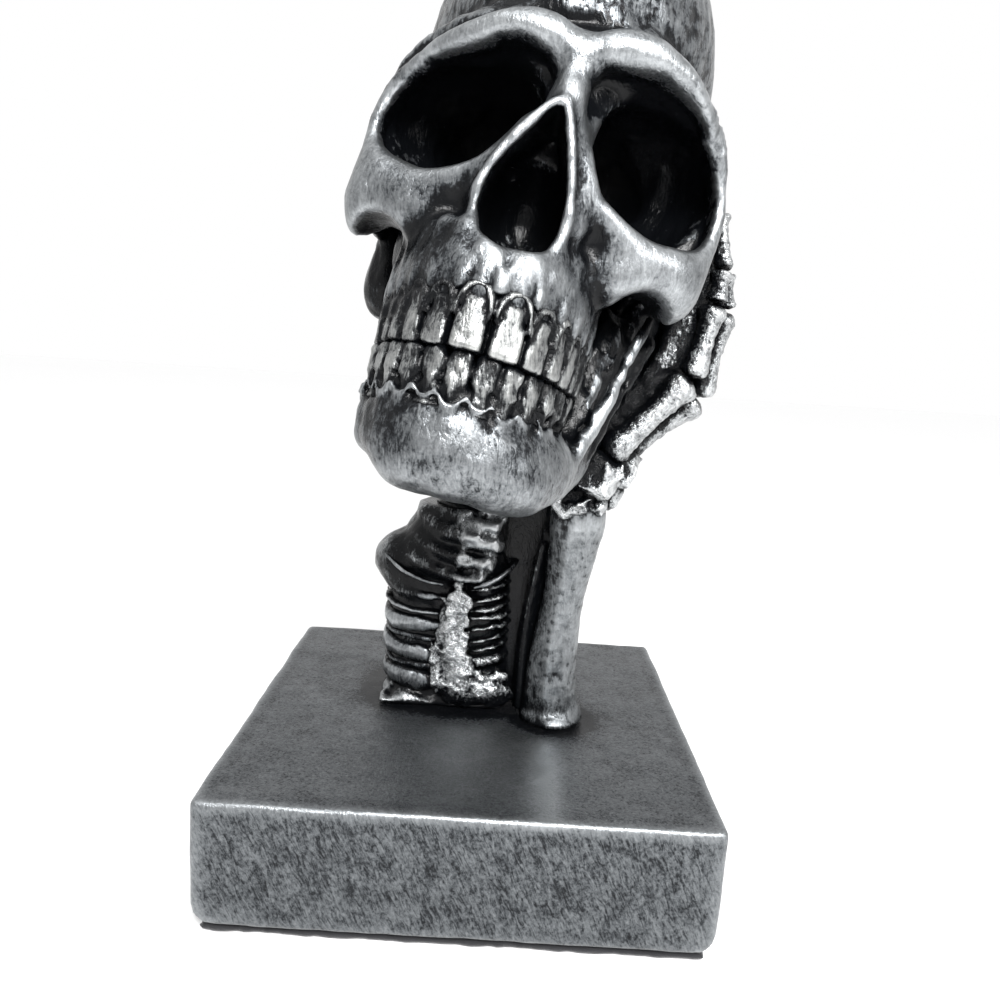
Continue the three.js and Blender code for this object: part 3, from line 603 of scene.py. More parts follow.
@dataclass(frozen=True)
class RubbedResin:
    """Polyester resin, cast black and rubbed with silver wax, which stays on ridges and dulls them.

    Cover says how much of the skin the wax takes, and break_up how unevenly. Hairy, patchy and gritty
    are the shares of three patterns in that. Sizes are millimetres, and relief is how high the wax is.
    """

    name: str
    bright: str = "#a2a5a7"
    dull: str = "#3d4043"
    black: str = "#07080a"
    cover: float = 0.52
    break_up: float = 0.6
    hair: float = 0.42
    hair_length: float = 3.0
    relief: float = 0.07
    gloss: float = 0.2
    flecks: float = 0.5
    hairy: float = 1.1
    patchy: float = 1.1
    gritty: float = 0.65
    patches_per_mm: float = 0.2
    grit_per_mm: float = 1.9
    flecks_per_mm: float = 0.6
    fleck_radii: tuple[float, float] = (0.04, 0.075)
    edge: tuple[float, float] = (0.72, 1.28)
    polish: tuple[float, float] = (0.4, 1.5)
    metal: float = 0.92
    wax_rougher: float = 0.13
    lean: Point = (0, 0, 0)

    def material(self) -> bpy.types.Material:
        """Builds the material.

        Returns:
            The material.
        """
        made, tree, turned = start_material(self.name, (1, 1, 1), self.lean)
        drawn = add_node(tree, "ShaderNodeVectorMath", {
            0: turned, 1: (1, 1, 1 / self.hair_length),
        }, operation="MULTIPLY").outputs["Vector"]
        # rub carries the wax's share and, at some places, painted light and shade.
        rub = add_node(tree, "ShaderNodeAttribute", attribute_name="rub").outputs["Fac"]
        # Brush hairs: lumps a fraction of a millimetre wide, drawn out along the stroke and wavy.
        hairs = add_node(tree, "ShaderNodeTexNoise", {
            "Vector": drawn, "Scale": 0.5 / self.hair, "Detail": 3.0, "Roughness": 0.65, "Distortion": 1.4,
        }).outputs["Fac"]
        # Patches a few millimetres wide, where the cloth pressed more or less.
        patches = add_node(tree, "ShaderNodeTexNoise", {
            "Vector": turned, "Scale": self.patches_per_mm, "Detail": 4.0, "Roughness": 0.62,
        }).outputs["Fac"]
        # Grit in the wax, half a millimetre wide: finer grit wouldn't show.
        grit = add_node(tree, "ShaderNodeTexNoise", {
            "Vector": turned, "Scale": self.grit_per_mm, "Detail": 3.0, "Roughness": 0.7,
        }).outputs["Fac"]
        height = rub
        for source, share in ((hairs, self.hairy), (patches, self.patchy), (grit, self.gritty)):
            centred = add_node(tree, "ShaderNodeMath", {0: source, 1: -0.5}, operation="ADD").outputs[0]
            height = add_node(tree, "ShaderNodeMath", {
                0: centred, 1: share * self.break_up * 2, 2: height,
            }, operation="MULTIPLY_ADD").outputs[0]
        mask = add_node(tree, "ShaderNodeMapRange", {
            "Value": height, "From Min": self.edge[0] - self.cover, "From Max": self.edge[1] - self.cover,
        }, interpolation_type="SMOOTHSTEP").outputs["Result"]
        # Flecks of silver that settle in the black hollows.
        dots = add_node(tree, "ShaderNodeTexVoronoi", {
            "Vector": turned, "Scale": self.flecks_per_mm,
        }).outputs["Distance"]
        fleck = add_node(tree, "ShaderNodeMapRange", {
            "Value": dots, "From Min": self.fleck_radii[0], "From Max": self.fleck_radii[1],
            "To Min": self.flecks, "To Max": 0.0,
        }).outputs["Result"]
        mask = add_node(tree, "ShaderNodeMath", {0: mask, 1: fleck}, operation="MAXIMUM").outputs[0]
        polish = add_node(tree, "ShaderNodeMapRange", {
            "Value": height, "From Min": self.polish[0], "From Max": self.polish[1],
        }).outputs["Result"]
        silver = add_node(tree, "ShaderNodeMix", {
            0: polish, 6: srgb(self.dull), 7: srgb(self.bright),
        }, data_type="RGBA").outputs[2]
        colour = add_node(tree, "ShaderNodeMix", {
            0: mask, 6: srgb(self.black), 7: silver,
        }, data_type="RGBA").outputs[2]
        metal = add_node(tree, "ShaderNodeMath", {0: mask, 1: self.metal}, operation="MULTIPLY").outputs[0]
        rough = add_node(tree, "ShaderNodeMapRange", {
            "Value": mask, "To Min": self.gloss, "To Max": self.gloss + self.wax_rougher,
        }).outputs["Result"]
        bump = add_node(tree, "ShaderNodeBump", {
            "Height": height, "Strength": 1.0, "Distance": self.relief * MM,
        }).outputs["Normal"]
        end_material(tree, {
            "Base Color": colour, "Metallic": metal, "Roughness": rough, "Normal": bump,
            "IOR": 1.5, "Specular IOR Level": 0.14,
        })
        return made


@dataclass(frozen=True)
class Felt:
    """Pressed wool felt, which soaks up light and shows its fibres."""

    name: str = "pressed_black_felt"
    dark: str = "#0c0c0e"
    light: str = "#26262a"

    def material(self) -> bpy.types.Material:
        """Builds the material.

        Returns:
            The material.
        """
        made, tree, turned = start_material(self.name, (1, 1, 1))
        # Tangled fibres a third of a millimetre wide, coarser than wool, so that they show.
        fibres = add_node(tree, "ShaderNodeTexNoise", {
            "Vector": turned, "Scale": 3.0, "Detail": 4.0, "Distortion": 2.0,
        }).outputs["Fac"]
        colour = add_node(tree, "ShaderNodeMix", {
            0: fibres, 6: srgb(self.dark), 7: srgb(self.light),
        }, data_type="RGBA").outputs[2]
        bump = add_node(tree, "ShaderNodeBump", {"Height": fibres, "Distance": 0.1 * MM}).outputs["Normal"]
        end_material(tree, {"Base Color": colour, "Roughness": 0.95, "Sheen Weight": 0.3, "Normal": bump})
        return made


@dataclass(frozen=True)
class Steel:
    """Drawn steel rod, with fine marks along it."""

    name: str = "drawn_steel_rod"
    colour: str = "#a4a7ab"

    def material(self) -> bpy.types.Material:
        """Builds the material.

        Returns:
            The material.
        """
        # Drawing marks a quarter of a millimetre apart and 5 mm long.
        made, tree, turned = start_material(self.name, (4, 4, 0.2))
        marks = add_node(tree, "ShaderNodeTexNoise", {"Vector": turned, "Scale": 1.0}).outputs["Fac"]
        rough = add_node(tree, "ShaderNodeMapRange", {
            "Value": marks, "To Min": 0.28, "To Max": 0.45,
        }).outputs["Result"]
        end_material(tree, {"Base Color": srgb(self.colour), "Metallic": 1.0, "Roughness": rough})
        return made


class Finish(Enum):
    """The finishes of the figurine, by what they cover.

    BONE is wax rubbed on bare bone, with brush hairs and worn patches. TEETH is brighter and finer. ROUGH is
    wax splashed on, gritty and bright. SMOOTH is burnished and even. DARK is resin left glossy, with wax only
    on its ridges. PLINTH is brushed flat, with fine slanting hairs.
    """

    BONE = RubbedResin("silver_rubbed_resin")
    TEETH = RubbedResin("silver_rubbed_teeth", bright="#c2c3c1", dull="#565859", hair=0.3, hair_length=5.0)
    ROUGH = RubbedResin("silver_splashed_resin", bright="#c4c6c7", dull="#4a4d4f", hair=0.5, hair_length=1.6,
                        cover=0.46, break_up=0.8, patchy=0.8, gritty=1.2, relief=0.12, gloss=0.14)
    SMOOTH = RubbedResin("silver_burnished_resin", bright="#9c9fa1", dull="#55585a", hair=0.35,
                         hair_length=4.0, cover=0.6, break_up=0.5, patchy=0.45, gritty=0.7)
    DARK = RubbedResin("glossy_black_resin", bright="#9a9c9d", cover=0.24, gloss=0.15)
    PLINTH = RubbedResin("brushed_plinth_resin", bright="#929597", dull="#3b3e41", hair=0.3, hair_length=4.0,
                         lean=(0, 24, 0), gloss=0.22, cover=0.56, break_up=0.55, patchy=0.45, gritty=0.8)
    FELT = Felt()
    STEEL = Steel()


class Palette:
    """Builds each finish once."""

    def __init__(self) -> None:
        """Starts with no material built."""
        self._made: dict[Finish, bpy.types.Material] = {}

    def get(self, finish: Finish) -> bpy.types.Material:
        """Gives the material of a finish.

        Args:
            finish: which one.

        Returns:
            The material, built at first use.
        """
        if finish not in self._made:
            self._made[finish] = finish.value.material()
        return self._made[finish]


def rows_of(data: bpy.types.bpy_prop_collection, key: str, kind: type = np.float32) -> np.ndarray:
    """Gives the three values that each element of a mesh has under a key.

    Args:
        data: the elements.
        key: the values' name.
        kind: the type of number.

    Returns:
        One row for each element.
    """
    flat = np.empty(len(data) * 3, kind)
    data.foreach_get(key, flat)
    return flat.reshape(-1, 3)


def put(name: str, data: bpy.types.ID) -> bpy.types.Object:
    """Puts a mesh, lamp or camera in the scene as an object.

    Args:
        name: the object's name.
        data: what it shows.

    Returns:
        The object.
    """
    made = bpy.data.objects.new(name, data)
    bpy.context.scene.collection.objects.link(made)
    return made


@dataclass
class Casting:
    """One piece of the visual model.

    Its shade gives, for places in the frame that it was modelled in, how much more silver they get
    than their shape says, and at some places painted highlights, reflections and shade.
    """

    name: str
    nodes: Sequence[str]
    slot: str
    finish: Finish
    mesh: bpy.types.Mesh
    pose: Pose
    shade: Callable[[np.ndarray], np.ndarray] | float = 0.0

    def points(self) -> np.ndarray:
        """Gives its vertices in millimetres."""
        return rows_of(self.mesh.vertices, "co") / MM

    def normals(self) -> np.ndarray:
        """Gives the direction in which each vertex faces."""
        return rows_of(self.mesh.vertex_normals, "vector")

    def triangles(self) -> np.ndarray:
        """Gives the corners of its triangles."""
        self.mesh.calc_loop_triangles()
        return rows_of(self.mesh.loop_triangles, "vertices", np.int32)

    def place(self, palette: Palette, around: "Surroundings") -> bpy.types.Object:
        """Rubs silver on the piece, puts it in the scene and ties it to the frame.

        Args:
            palette: the materials.
            around: the whole figurine, which shades its hollows.

        Returns:
            The object.
        """
        rub = around.rub(self.points(), self.normals())
        # The shade adds to the wax's share, and at some places paints highlights, reflections and shade into
        # it.
        rub += self.shade(self.pose.undo(self.points())) if callable(self.shade) else self.shade
        layer = self.mesh.attributes.new("rub", "FLOAT", "POINT")
        layer.data.foreach_set("value", rub.astype(np.float32))
        self.mesh.materials.clear()
        self.mesh.materials.append(palette.get(self.finish))
        self.mesh.shade_smooth()
        made = put(self.name, self.mesh)
        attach(made, "root")
        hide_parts(*self.nodes)
        log.info("%s: %d vertices, replaces %s", self.name, len(self.mesh.vertices), ", ".join(self.nodes))
        return made


def mesh_of(name: str, points: np.ndarray, faces: np.ndarray) -> bpy.types.Mesh:
    """Makes a mesh.

    Args:
        name: its name.
        points: the vertices, in millimetres.
        faces: the corners of each face.

    Returns:
        The mesh, in metres.
    """
    made = bpy.data.meshes.new(name)
    made.from_pydata((points * MM).tolist(), [], faces.tolist())
    made.update()
    return made


class Surroundings:
    """The distance from the skin of the whole figurine, on a grid."""

    cell = 0.8
    depth = 11.0
    # How far out a vertex looks for room, and what each look counts for.
    looks = ((1.4, 0.25), (4.0, 0.35), (10.0, 0.4))

    def __init__(self, castings: Iterable[Casting]) -> None:
        """Measures the space round all pieces.

        Args:
            castings: the pieces.
        """
        points, faces, start = [], [], 0
        for casting in castings:
            points.append(casting.points())
            faces.append(casting.triangles() + start)
            start += len(points[-1])
        every = np.concatenate(points)
        self.low = every.min(0) - self.depth
        counts = np.ceil((every.max(0) + self.depth - self.low) / self.cell).astype(int)
        grid = openvdb.FloatGrid.createLevelSetFromPolygons(
            ((every - self.low) / self.cell).astype(np.float32),
            triangles=np.concatenate(faces).astype(np.uint32), halfWidth=self.depth / self.cell,
        )
        self.values = np.full(counts, self.depth, np.float32)
        grid.copyToArray(self.values)
        self.values *= self.cell

    def at(self, points: np.ndarray) -> np.ndarray:
        """Gives the distance at points, negative inside.

        Args:
            points: where, in the part's frame.

        Returns:
            One distance for each point.
        """
        place = np.clip((points - self.low) / self.cell, 0, np.array(self.values.shape) - 1.001)
        low = np.floor(place).astype(int)
        part = place - low
        total = np.zeros(len(points))
        for corner in np.ndindex(2, 2, 2):
            weight = np.ones(len(points))
            for axis, up in enumerate(corner):
                weight *= part[:, axis] if up else 1 - part[:, axis]
            i, j, k = (low + np.array(corner)).T
            total += weight * self.values[i, j, k]
        return total

    def rub(self, points: np.ndarray, normals: np.ndarray) -> np.ndarray:
        """Gives how much silver a cloth leaves at points: more on ridges, less in hollows.

        Args:
            points: where, in millimetres.
            normals: the direction in which each faces.

        Returns:
            About -0.3 in a hollow, a half on an open flat and 1 on a ridge.
        """
        room = sum(weight * np.clip(self.at(points + normals * reach) / reach, 0, 1)
                   for reach, weight in self.looks)
        side = np.cross(normals, np.where(np.abs(normals[:, 2:]) > 0.8, [[1.0, 0, 0]], [[0, 0, 1.0]]))
        side /= length_of(side)[:, None]
        other = np.cross(normals, side)

        def bulge(step: float) -> np.ndarray:
            """Gives how far the skin bulges over a step to each side."""
            total = sum(self.at(points + way * step) for way in (side, -side, other, -other))
            return np.clip(total / (2 * step), -0.5, 0.6)

        return 0.85 * eased(0.3, 1.0, room) - 0.3 + 0.7 * bulge(1.6) + 0.45 * bulge(4.5)


@dataclass(frozen=True)
class Path3D:
    """A path for a rolled rod: its points in millimetres, and how thick the rod is at each."""

    points: Sequence[Point]
    thick: Sequence[float]


class RodTree:
    """Geometry nodes that roll a rod along paths, then leave hand-worked lumps on its skin."""

    sockets = (
        ("Path", "NodeSocketGeometry"), ("Points Along", "NodeSocketInt"), ("Points Round", "NodeSocketInt"),
        ("Half Depth", "NodeSocketFloat"), ("Half Height", "NodeSocketFloat"),
        ("Lump Size", "NodeSocketFloat"), ("Lump Height", "NodeSocketFloat"), ("Seed", "NodeSocketFloat"),
        ("Material", "NodeSocketMaterial"),
    )

    def __init__(self) -> None:
        """Builds the tree."""
        tree = bpy.data.node_groups.new("rolled_rod", "GeometryNodeTree")
        self.tree = tree
        self.keys = {
            name: tree.interface.new_socket(name=name, in_out="INPUT", socket_type=kind).identifier
            for name, kind in self.sockets
        }
        tree.interface.new_socket(name="Rod", in_out="OUTPUT", socket_type="NodeSocketGeometry")
        given = add_node(tree, "NodeGroupInput").outputs
        curve = add_node(tree, "GeometryNodeMeshToCurve", {"Mesh": given["Path"]}).outputs["Curve"]
        curve = add_node(tree, "GeometryNodeCurveSplineType", {"Curve": curve},
                         spline_type="CATMULL_ROM").outputs["Curve"]
        curve = add_node(tree, "GeometryNodeResampleCurve", {
            "Curve": curve, "Count": given["Points Along"],
        }).outputs["Curve"]
        thick = add_node(tree, "GeometryNodeInputNamedAttribute", {"Name": "thick"}).outputs["Attribute"]
        curve = add_node(tree, "GeometryNodeSetCurveNormal", {"Curve": curve}, mode="Z_UP").outputs["Curve"]
        ring = add_node(tree, "GeometryNodeCurvePrimitiveCircle", {
            "Resolution": given["Points Round"], "Radius": 1.0,
        }).outputs["Curve"]
        scale = add_node(tree, "ShaderNodeCombineXYZ", {
            "X": given["Half Depth"], "Y": given["Half Height"], "Z": 1.0,
        }).outputs["Vector"]
        ring = add_node(tree, "GeometryNodeTransform", {"Geometry": ring, "Scale": scale}).outputs["Geometry"]
        rod = add_node(tree, "GeometryNodeCurveToMesh", {
            "Curve": curve, "Profile Curve": ring, "Scale": thick, "Fill Caps": True,
        }).outputs["Mesh"]
        place = add_node(tree, "GeometryNodeInputPosition").outputs["Position"]
        often = add_node(tree, "ShaderNodeMath", {
            0: 1.0, 1: given["Lump Size"],
        }, operation="DIVIDE").outputs[0]
        noise = add_node(tree, "ShaderNodeTexNoise", {
            "Vector": place, "W": given["Seed"], "Scale": often, "Detail": 2.0,
        }, noise_dimensions="4D").outputs["Fac"]
        centred = add_node(tree, "ShaderNodeMath", {0: noise, 1: -0.5}, operation="ADD").outputs[0]
        height = add_node(tree, "ShaderNodeMath", {
            0: centred, 1: given["Lump Height"],
        }, operation="MULTIPLY").outputs[0]
        normal = add_node(tree, "GeometryNodeInputNormal").outputs["Normal"]
        offset = add_node(tree, "ShaderNodeVectorMath", {
            0: normal, "Scale": height,
        }, operation="SCALE").outputs["Vector"]
        rod = add_node(tree, "GeometryNodeSetPosition", {
            "Geometry": rod, "Offset": offset,
        }).outputs["Geometry"]
        rod = add_node(tree, "GeometryNodeRealizeInstances", {"Geometry": rod}).outputs["Geometry"]
        rod = add_node(tree, "GeometryNodeSetMaterial", {
            "Geometry": rod, "Material": given["Material"],
        }).outputs["Geometry"]
        add_node(tree, "NodeGroupOutput", {0: rod})

    def roll(self, name: str, paths: Sequence[Path3D], **inputs: Any) -> bpy.types.Mesh:
        """Rolls rods along paths.

        Args:
            name: the mesh's name.
            paths: the paths, in millimetres.
            inputs: the tree's inputs, with underscores for spaces.

        Returns:
            One mesh of all the rods, in metres.
        """
        line = bpy.data.meshes.new(name + "_path")
        points, edges, thick = [], [], []
        for path in paths:
            start = len(points)
            points.extend(tuple(float(v) for v in point) for point in path.points)
            thick.extend(float(v) for v in path.thick)
            edges.extend((i, i + 1) for i in range(start, len(points) - 1))
        line.from_pydata(points, edges, [])
        line.attributes.new("thick", "FLOAT", "POINT").data.foreach_set("value", thick)
        carrier = put(name + "_path", line)
        changer = carrier.modifiers.new("rod", "NODES")
        changer.node_group = self.tree
        for key, value in inputs.items():
            changer[self.keys[key.replace("_", " ")]] = value
        ready = carrier.evaluated_get(bpy.context.evaluated_depsgraph_get())
        made = bpy.data.meshes.new_from_object(ready)
        carrier.modifiers.remove(changer)
        bpy.data.objects.remove(carrier)
        bpy.data.meshes.remove(line)
        made.transform(Matrix.Scale(MM, 4))
        made.name = name
        return made


@dataclass
class Maker:
    """Base of the sub-assemblies, which collects the pieces that they make."""

    castings: list[Casting] = field(default_factory=list, init=False)

    def cast(self, name: str, nodes: Sequence[str], clay: Clay, finish: Finish = Finish.BONE,
             slot: str = "bone", pose: Pose = HERE, rounds: int = 2,
             shade: Callable[[np.ndarray], np.ndarray] | float = 0.0) -> None:
        """Turns a block of clay into a piece.

        Args:
            name: the piece's name.
            nodes: the nodes that it stands for.
            clay: the modelled block.
            finish: its finish.
            slot: a material slot name, which the piece keeps and nothing reads.
            pose: where the block's frame stands.
            rounds: how much its skin is smoothed.
            shade: silver that it gets more than its shape says, and at some places painted light and shade.
        """
        points, quads = clay.skin(rounds)
        mesh = mesh_of(name, pose.apply(points), quads)
        self.castings.append(Casting(name, nodes, slot, finish, mesh, pose, shade))

    def rod(self, tree: RodTree, node: str, paths: Sequence[Path3D], finish: Finish, slot: str,
            shade: Callable[[np.ndarray], np.ndarray] | float = 0.0, **inputs: Any) -> None:
        """Rolls rods along paths as one piece.

        Args:
            tree: the geometry nodes.
            node: the node that the piece stands for.
            paths: the paths.
            finish: its finish.
            slot: a material slot name, which the piece keeps and nothing reads.
            shade: silver that it gets more than its shape says.
            inputs: the tree's inputs.
        """
        name = node + "_casting"
        mesh = tree.roll(name, paths, Material=None, **inputs)
        self.castings.append(Casting(name, [node], slot, finish, mesh, HERE, shade))


@dataclass(frozen=True)
class Place:
    """Where a tooth stands, and how wide it is."""

    x: float
    y: float
    heading: float
    width: float
    tall: float
    thick: float

    def beside(self, across: float, out: float) -> tuple[float, float]:
        """Gives a place measured along the row and out of the mouth.

        Args:
            across: how far along the row from the tooth's middle.
            out: how far out of the mouth.

        Returns:
            The place's x and y.
        """
        angle = math.radians(self.heading)
        return (self.x + across * math.cos(angle) + out * math.sin(angle),
                self.y + across * math.sin(angle) - out * math.cos(angle))


@dataclass(frozen=True)
class Row:
    """One row of teeth on half an ellipse. Widths, heights and thicknesses run from the middle back."""

    middle: tuple[float, float]
    radii: tuple[float, float]
    shift: float
    bite: float
    gum: float
    widths: Sequence[float]
    heights: Sequence[float]
    thicknesses: Sequence[float]

    def places(self) -> list[Place]:
        """Gives the places of the teeth of both halves.

        Returns:
            One place for each tooth.
        """
        angle = np.linspace(0, math.pi * 0.7, 1500)
        x, y = self.radii[0] * np.sin(angle), -self.radii[1] * np.cos(angle)
        walked = np.concatenate([[0], np.cumsum(np.hypot(np.diff(x), np.diff(y)))])
        found = []
        for side in (1, -1):
            start = side * self.shift
            for width, tall, thick in zip(self.widths, self.heights, self.thicknesses):
                i = int(np.searchsorted(walked, start + width / 2))
                heading = side * math.degrees(math.atan2(y[i + 1] - y[i], x[i + 1] - x[i]))
                found.append(Place(self.middle[0] + side * x[i], self.middle[1] + y[i], heading, width,
                                   tall, thick))
                start += width
        return found


@dataclass
class Head(Maker):
    """The skull with its jaw and teeth, in a frame with its origin between the ear holes."""

    tip_back: float = 12.0
    tip_side: float = 12.0
    turn: float = 1.0
    cell: float = 0.54
    tooth_cell: float = 0.34
    upper: Row = Row(
        (-1.6, -26.4), (12.6, 17.2), 0.9, -26.0, -16.8, (4.6, 3.9, 3.3, 3.1, 3.2, 4.0, 3.8),
        (8.3, 7.7, 7.7, 6.9, 6.7, 6.5, 5.9), (3.2, 3.0, 3.6, 4.0, 4.2, 5.0, 5.0))
    lower: Row = Row(
        (-1.8, -26.2), (12.4, 16.8), 0.5, -25.8, -33.8, (3.3, 3.3, 3.4, 3.3, 3.4, 4.2, 4.0),
        (6.6, 6.6, 6.8, 6.6, 6.4, 6.2, 6.0), (2.8, 2.8, 3.2, 4.0, 4.2, 5.0, 5.0))

    def __post_init__(self) -> None:
        """Sets the head's pose."""
        lean = turning((0, self.tip_side, 0)) @ turning((-self.tip_back, 0, 0)) @ turning((0, 0, -self.turn))
        self.pose = Pose(lean, np.array(EARS))

    def build(self) -> None:
        """Models the skull, the jaw and the teeth."""
        self.cranium()
        self.jaw()
        self.upper_teeth()
        self.lower_teeth()

    def cranium(self) -> None:
        """Models the cranium with the upper jaw."""
        clay = Clay((-31, -48, -24), (31, 42, 58), self.cell)
        self.vault(clay)
        self.brows(clay)
        self.cheeks(clay)
        self.alveoli(clay)
        # Groove that parts the smooth brow from the rough forehead.
        groove = (
            (-24.0, 9.0), (-21.9, 14.0), (-18.6, 17.2), (-14.2, 18.0), (-10.3, 19.6), (-6.1, 20.9),
            (-2.0, 21.2), (1.6, 21.9), (5.5, 22.1), (9.4, 21.6), (13.8, 20.6), (17.2, 19.4),
            (20.0, 17.8), (22.8, 14.8), (24.6, 10.0),
        )
        clay.draw(Stroke(groove, width=0.8, height=-0.6, back=-25.0))
        self.eye_sockets(clay)
        self.nose(clay)
        # Bone behind the ear, and the ear hole.
        clay.add(Egg((22.5, 5, -8), (4.4, 6, 7.5)), 3, twin=True)
        clay.cut(Egg((27.5, 1, 0), (4, 1.8, 1.8)), 0.8, twin=True)
        clay.roughen(self.weathering)
        clay.trim((-30, -46.5, -23), (30, 40.5, 56.5))
        self.cast("cranium_casting", ["cranium"], clay, pose=self.pose, shade=self.cranium_shade)

    @staticmethod
    def vault(clay: Clay) -> None:
        """Models the vault, from the forehead to the back of the head.

        Args:
            clay: the block that is worked on.
        """
        clay.add(Egg((0, 1, 22), (25.0, 37, 33)))
        # The head's widest part, over the ears.
        clay.add(Egg((0, 4, 13), (26.3, 30, 15)), 6)
        # Forehead.
        clay.add(Egg((0, -16, 28), (21.2, 25, 23.5)), 6)
        # Bosses at the sides of the crown.
        clay.add(Egg((11, 6, 30), (15.2, 20, 14.5)), 6, twin=True)
        clay.add(Egg((11, 17, 31), (15.6, 19, 18.6)), 6, twin=True)
        # Back of the head, and its underside.
        clay.add(Egg((0, 20, 12), (21, 18.5, 18)), 6)
        clay.add(Egg((0, 7, -2), (19, 23, 11)), 5)
        # Temples.
        clay.cut(Egg((36.8, -20, 9), (11.5, 14, 20)), 6, twin=True)

    @staticmethod
    def brows(clay: Clay) -> None:
        """Models the front of the skull, the brows and the eye sockets' lower rims.

        Args:
            clay: the block that is worked on.
        """
        clay.add(Egg((0, -27, 3), (20, 13.5, 18)), 4)
        clay.add(Egg((5.6, -35.6, 20.6), (8.5, 4.4, 3.6)), 2.5)
        # The sockets' outer walls.
        clay.add(Egg((18.3, -25.5, 6.5), (8.6, 9, 13)), 3.0)
        clay.add(Egg((-16.4, -26, 6.5), (8.6, 8.8, 12.5)), 3.0)
        # The upper jaw, and the base of the skull behind it.
        clay.add(Egg((-1, -29, -12), (12.8, 13, 9)), 4)
        clay.add(Egg((0, -14, -6), (13, 17, 9)), 4)
        # Bone behind the brows, which hangs lower on the side away from the hand.
        bone = ((1.0, -37.0, 18.6), (6.0, -37.2, 20.0), (11.0, -36.4, 20.0), (15.8, -34.0, 19.0),
                (20.2, -30.4, 16.4), (23.4, -27.0, 11.6))
        for side, drop in ((1, 0.0), (-1, 0.9)):
            clay.add(Strand([(side * x, y, z - drop * x / 8) for x, y, z in bone],
                            [3.0, 3.3, 3.4, 3.2, 2.9, 2.4]), 2)
        for brow in (
            ((1.2, -41.0, 16.4), (6.0, -41.9, 18.2), (11.0, -41.6, 18.6), (15.8, -39.3, 17.9),
             (20.8, -35.3, 15.6), (24.2, -31.8, 11.2), (25.4, -30.2, 5.5)),
            ((1.2, -41.0, 16.4), (-3.6, -41.9, 17.8), (-8.6, -41.4, 17.4), (-13.4, -39.3, 15.8),
             (-18.2, -35.8, 13.6), (-22.3, -32.0, 10.2), (-24.2, -30.4, 5.0)),
        ):
            clay.add(Strand(brow, [2.2, 2.7, 2.7, 2.3, 1.9, 1.3, 0.9]), 2)
        for rim, radii in (
            (((25.4, -30.2, 5.5), (25.4, -30.6, 0.6), (23.8, -31.6, -3.4), (18.4, -34.2, -4.8),
              (13.0, -36.8, -3.6), (9.0, -38.8, -0.8), (6.8, -40.0, 3.6)),
             (0.9, 1.2, 2.0, 2.4, 2.3, 1.9, 1.5)),
            (((-24.2, -30.4, 5.0), (-23.9, -31.0, 0.8), (-20.2, -32.8, -2.6), (-14.6, -35.4, -3.6),
              (-10.0, -38.2, -2.2), (-6.4, -40.2, 1.2), (-3.8, -41.2, 5.6)),
             (0.9, 1.6, 2.2, 2.4, 2.2, 1.7, 1.3)),
        ):
            clay.add(Strand(rim, radii), 2.2)

    @staticmethod
    def cheeks(clay: Clay) -> None:
        """Models the cheek bones with their arches, and the hollows under them.

        Args:
            clay: the block that is worked on.
        """
        for centre, radii, soft, twin in (
            ((-23.0, -28.6, -3.0), (1.9, 4.0, 5.4), 2, False),
            ((24.2, -28.4, -2.6), (2.2, 4.0, 5.4), 2, False),
            ((20.0, -30.4, -5.0), (5.9, 5.4, 5.6), 3, True),
            ((23.0, -28.6, -7.2), (3.2, 4.6, 3.9), 2.5, False),
            ((-22.4, -28.6, -7.6), (3.1, 4.6, 4.0), 2.5, False),
        ):
            clay.add(Egg(centre, radii), soft, twin)
        arch = ((22.2, -27, -6.5), (25, -20, -4.5), (26.2, -11, -2.5), (25.6, -3, -0.5), (23.5, 4, 0))
        clay.add(Strand(arch, [2.6, 2.0, 1.8, 2.0, 2.4], stretch=(0.8, 1, 1.3)), 2, twin=True)
        # Bone between the cheek and the teeth.
        clay.add(Egg((-13.8, -33.6, -6.6), (6.5, 4.2, 4.6)), 2.5)
        clay.add(Egg((13.4, -33.2, -7.4), (6.0, 4.4, 5.2)), 2.5)
        # Hollows under the cheeks, and behind them, where the jaw's branch goes up.
        clay.cut(Egg((18.7, -29, -15.4), (4.8, 12, 6.4)), 1.8)
        clay.cut(Egg((-19.6, -28, -14.4), (4.9, 13, 6.5)), 1.4)
        clay.cut(Egg((22, -14, -4), (3.4, 8, 10)), 2, twin=True)
        # A wall at the back of that hollow, so that no light comes through.
        clay.add(Egg((18.4, -8.5, -5.0), (2.6, 4.5, 6.5)), 1, twin=True)

    def alveoli(self, clay: Clay) -> None:
        """Models the bone that holds the upper teeth, with a bulge over each root.

        Args:
            clay: the block that is worked on.
        """
        for place in self.upper.places():
            reach = place.thick * 0.5 - 1.8
            top, foot = place.beside(0, reach - 0.6), place.beside(0, reach)
            clay.add(Strand([(*top, -10.0), (*foot, -15.6), (*foot, -19.6)], [2.3, 2.25, 1.7]), 1.2)
            neck = self.upper.bite + place.tall + 1.7
            root = place.beside(0, reach + 1.0)
            clay.add(Strand([(*place.beside(0, reach + 0.6), neck + 4.6), (*root, neck + 2.0), (*root, neck)],
                            [0.5, 0.8, 0.9]), 0.8)
            for side in (-0.5, 0.5):
                crest = [(*place.beside(place.width * side, reach + 1.75), z) for z in (neck - 1.6, neck)]
                crest.append((*place.beside(place.width * side * 0.6, reach + 1.9), neck + 3.4))
                clay.add(Strand(crest, [0.55, 0.6, 0.3]), 0.6)
        clay.add(Egg((-1.0, -40.4, -13.2), (8.6, 4.0, 3.2)), 1.5)

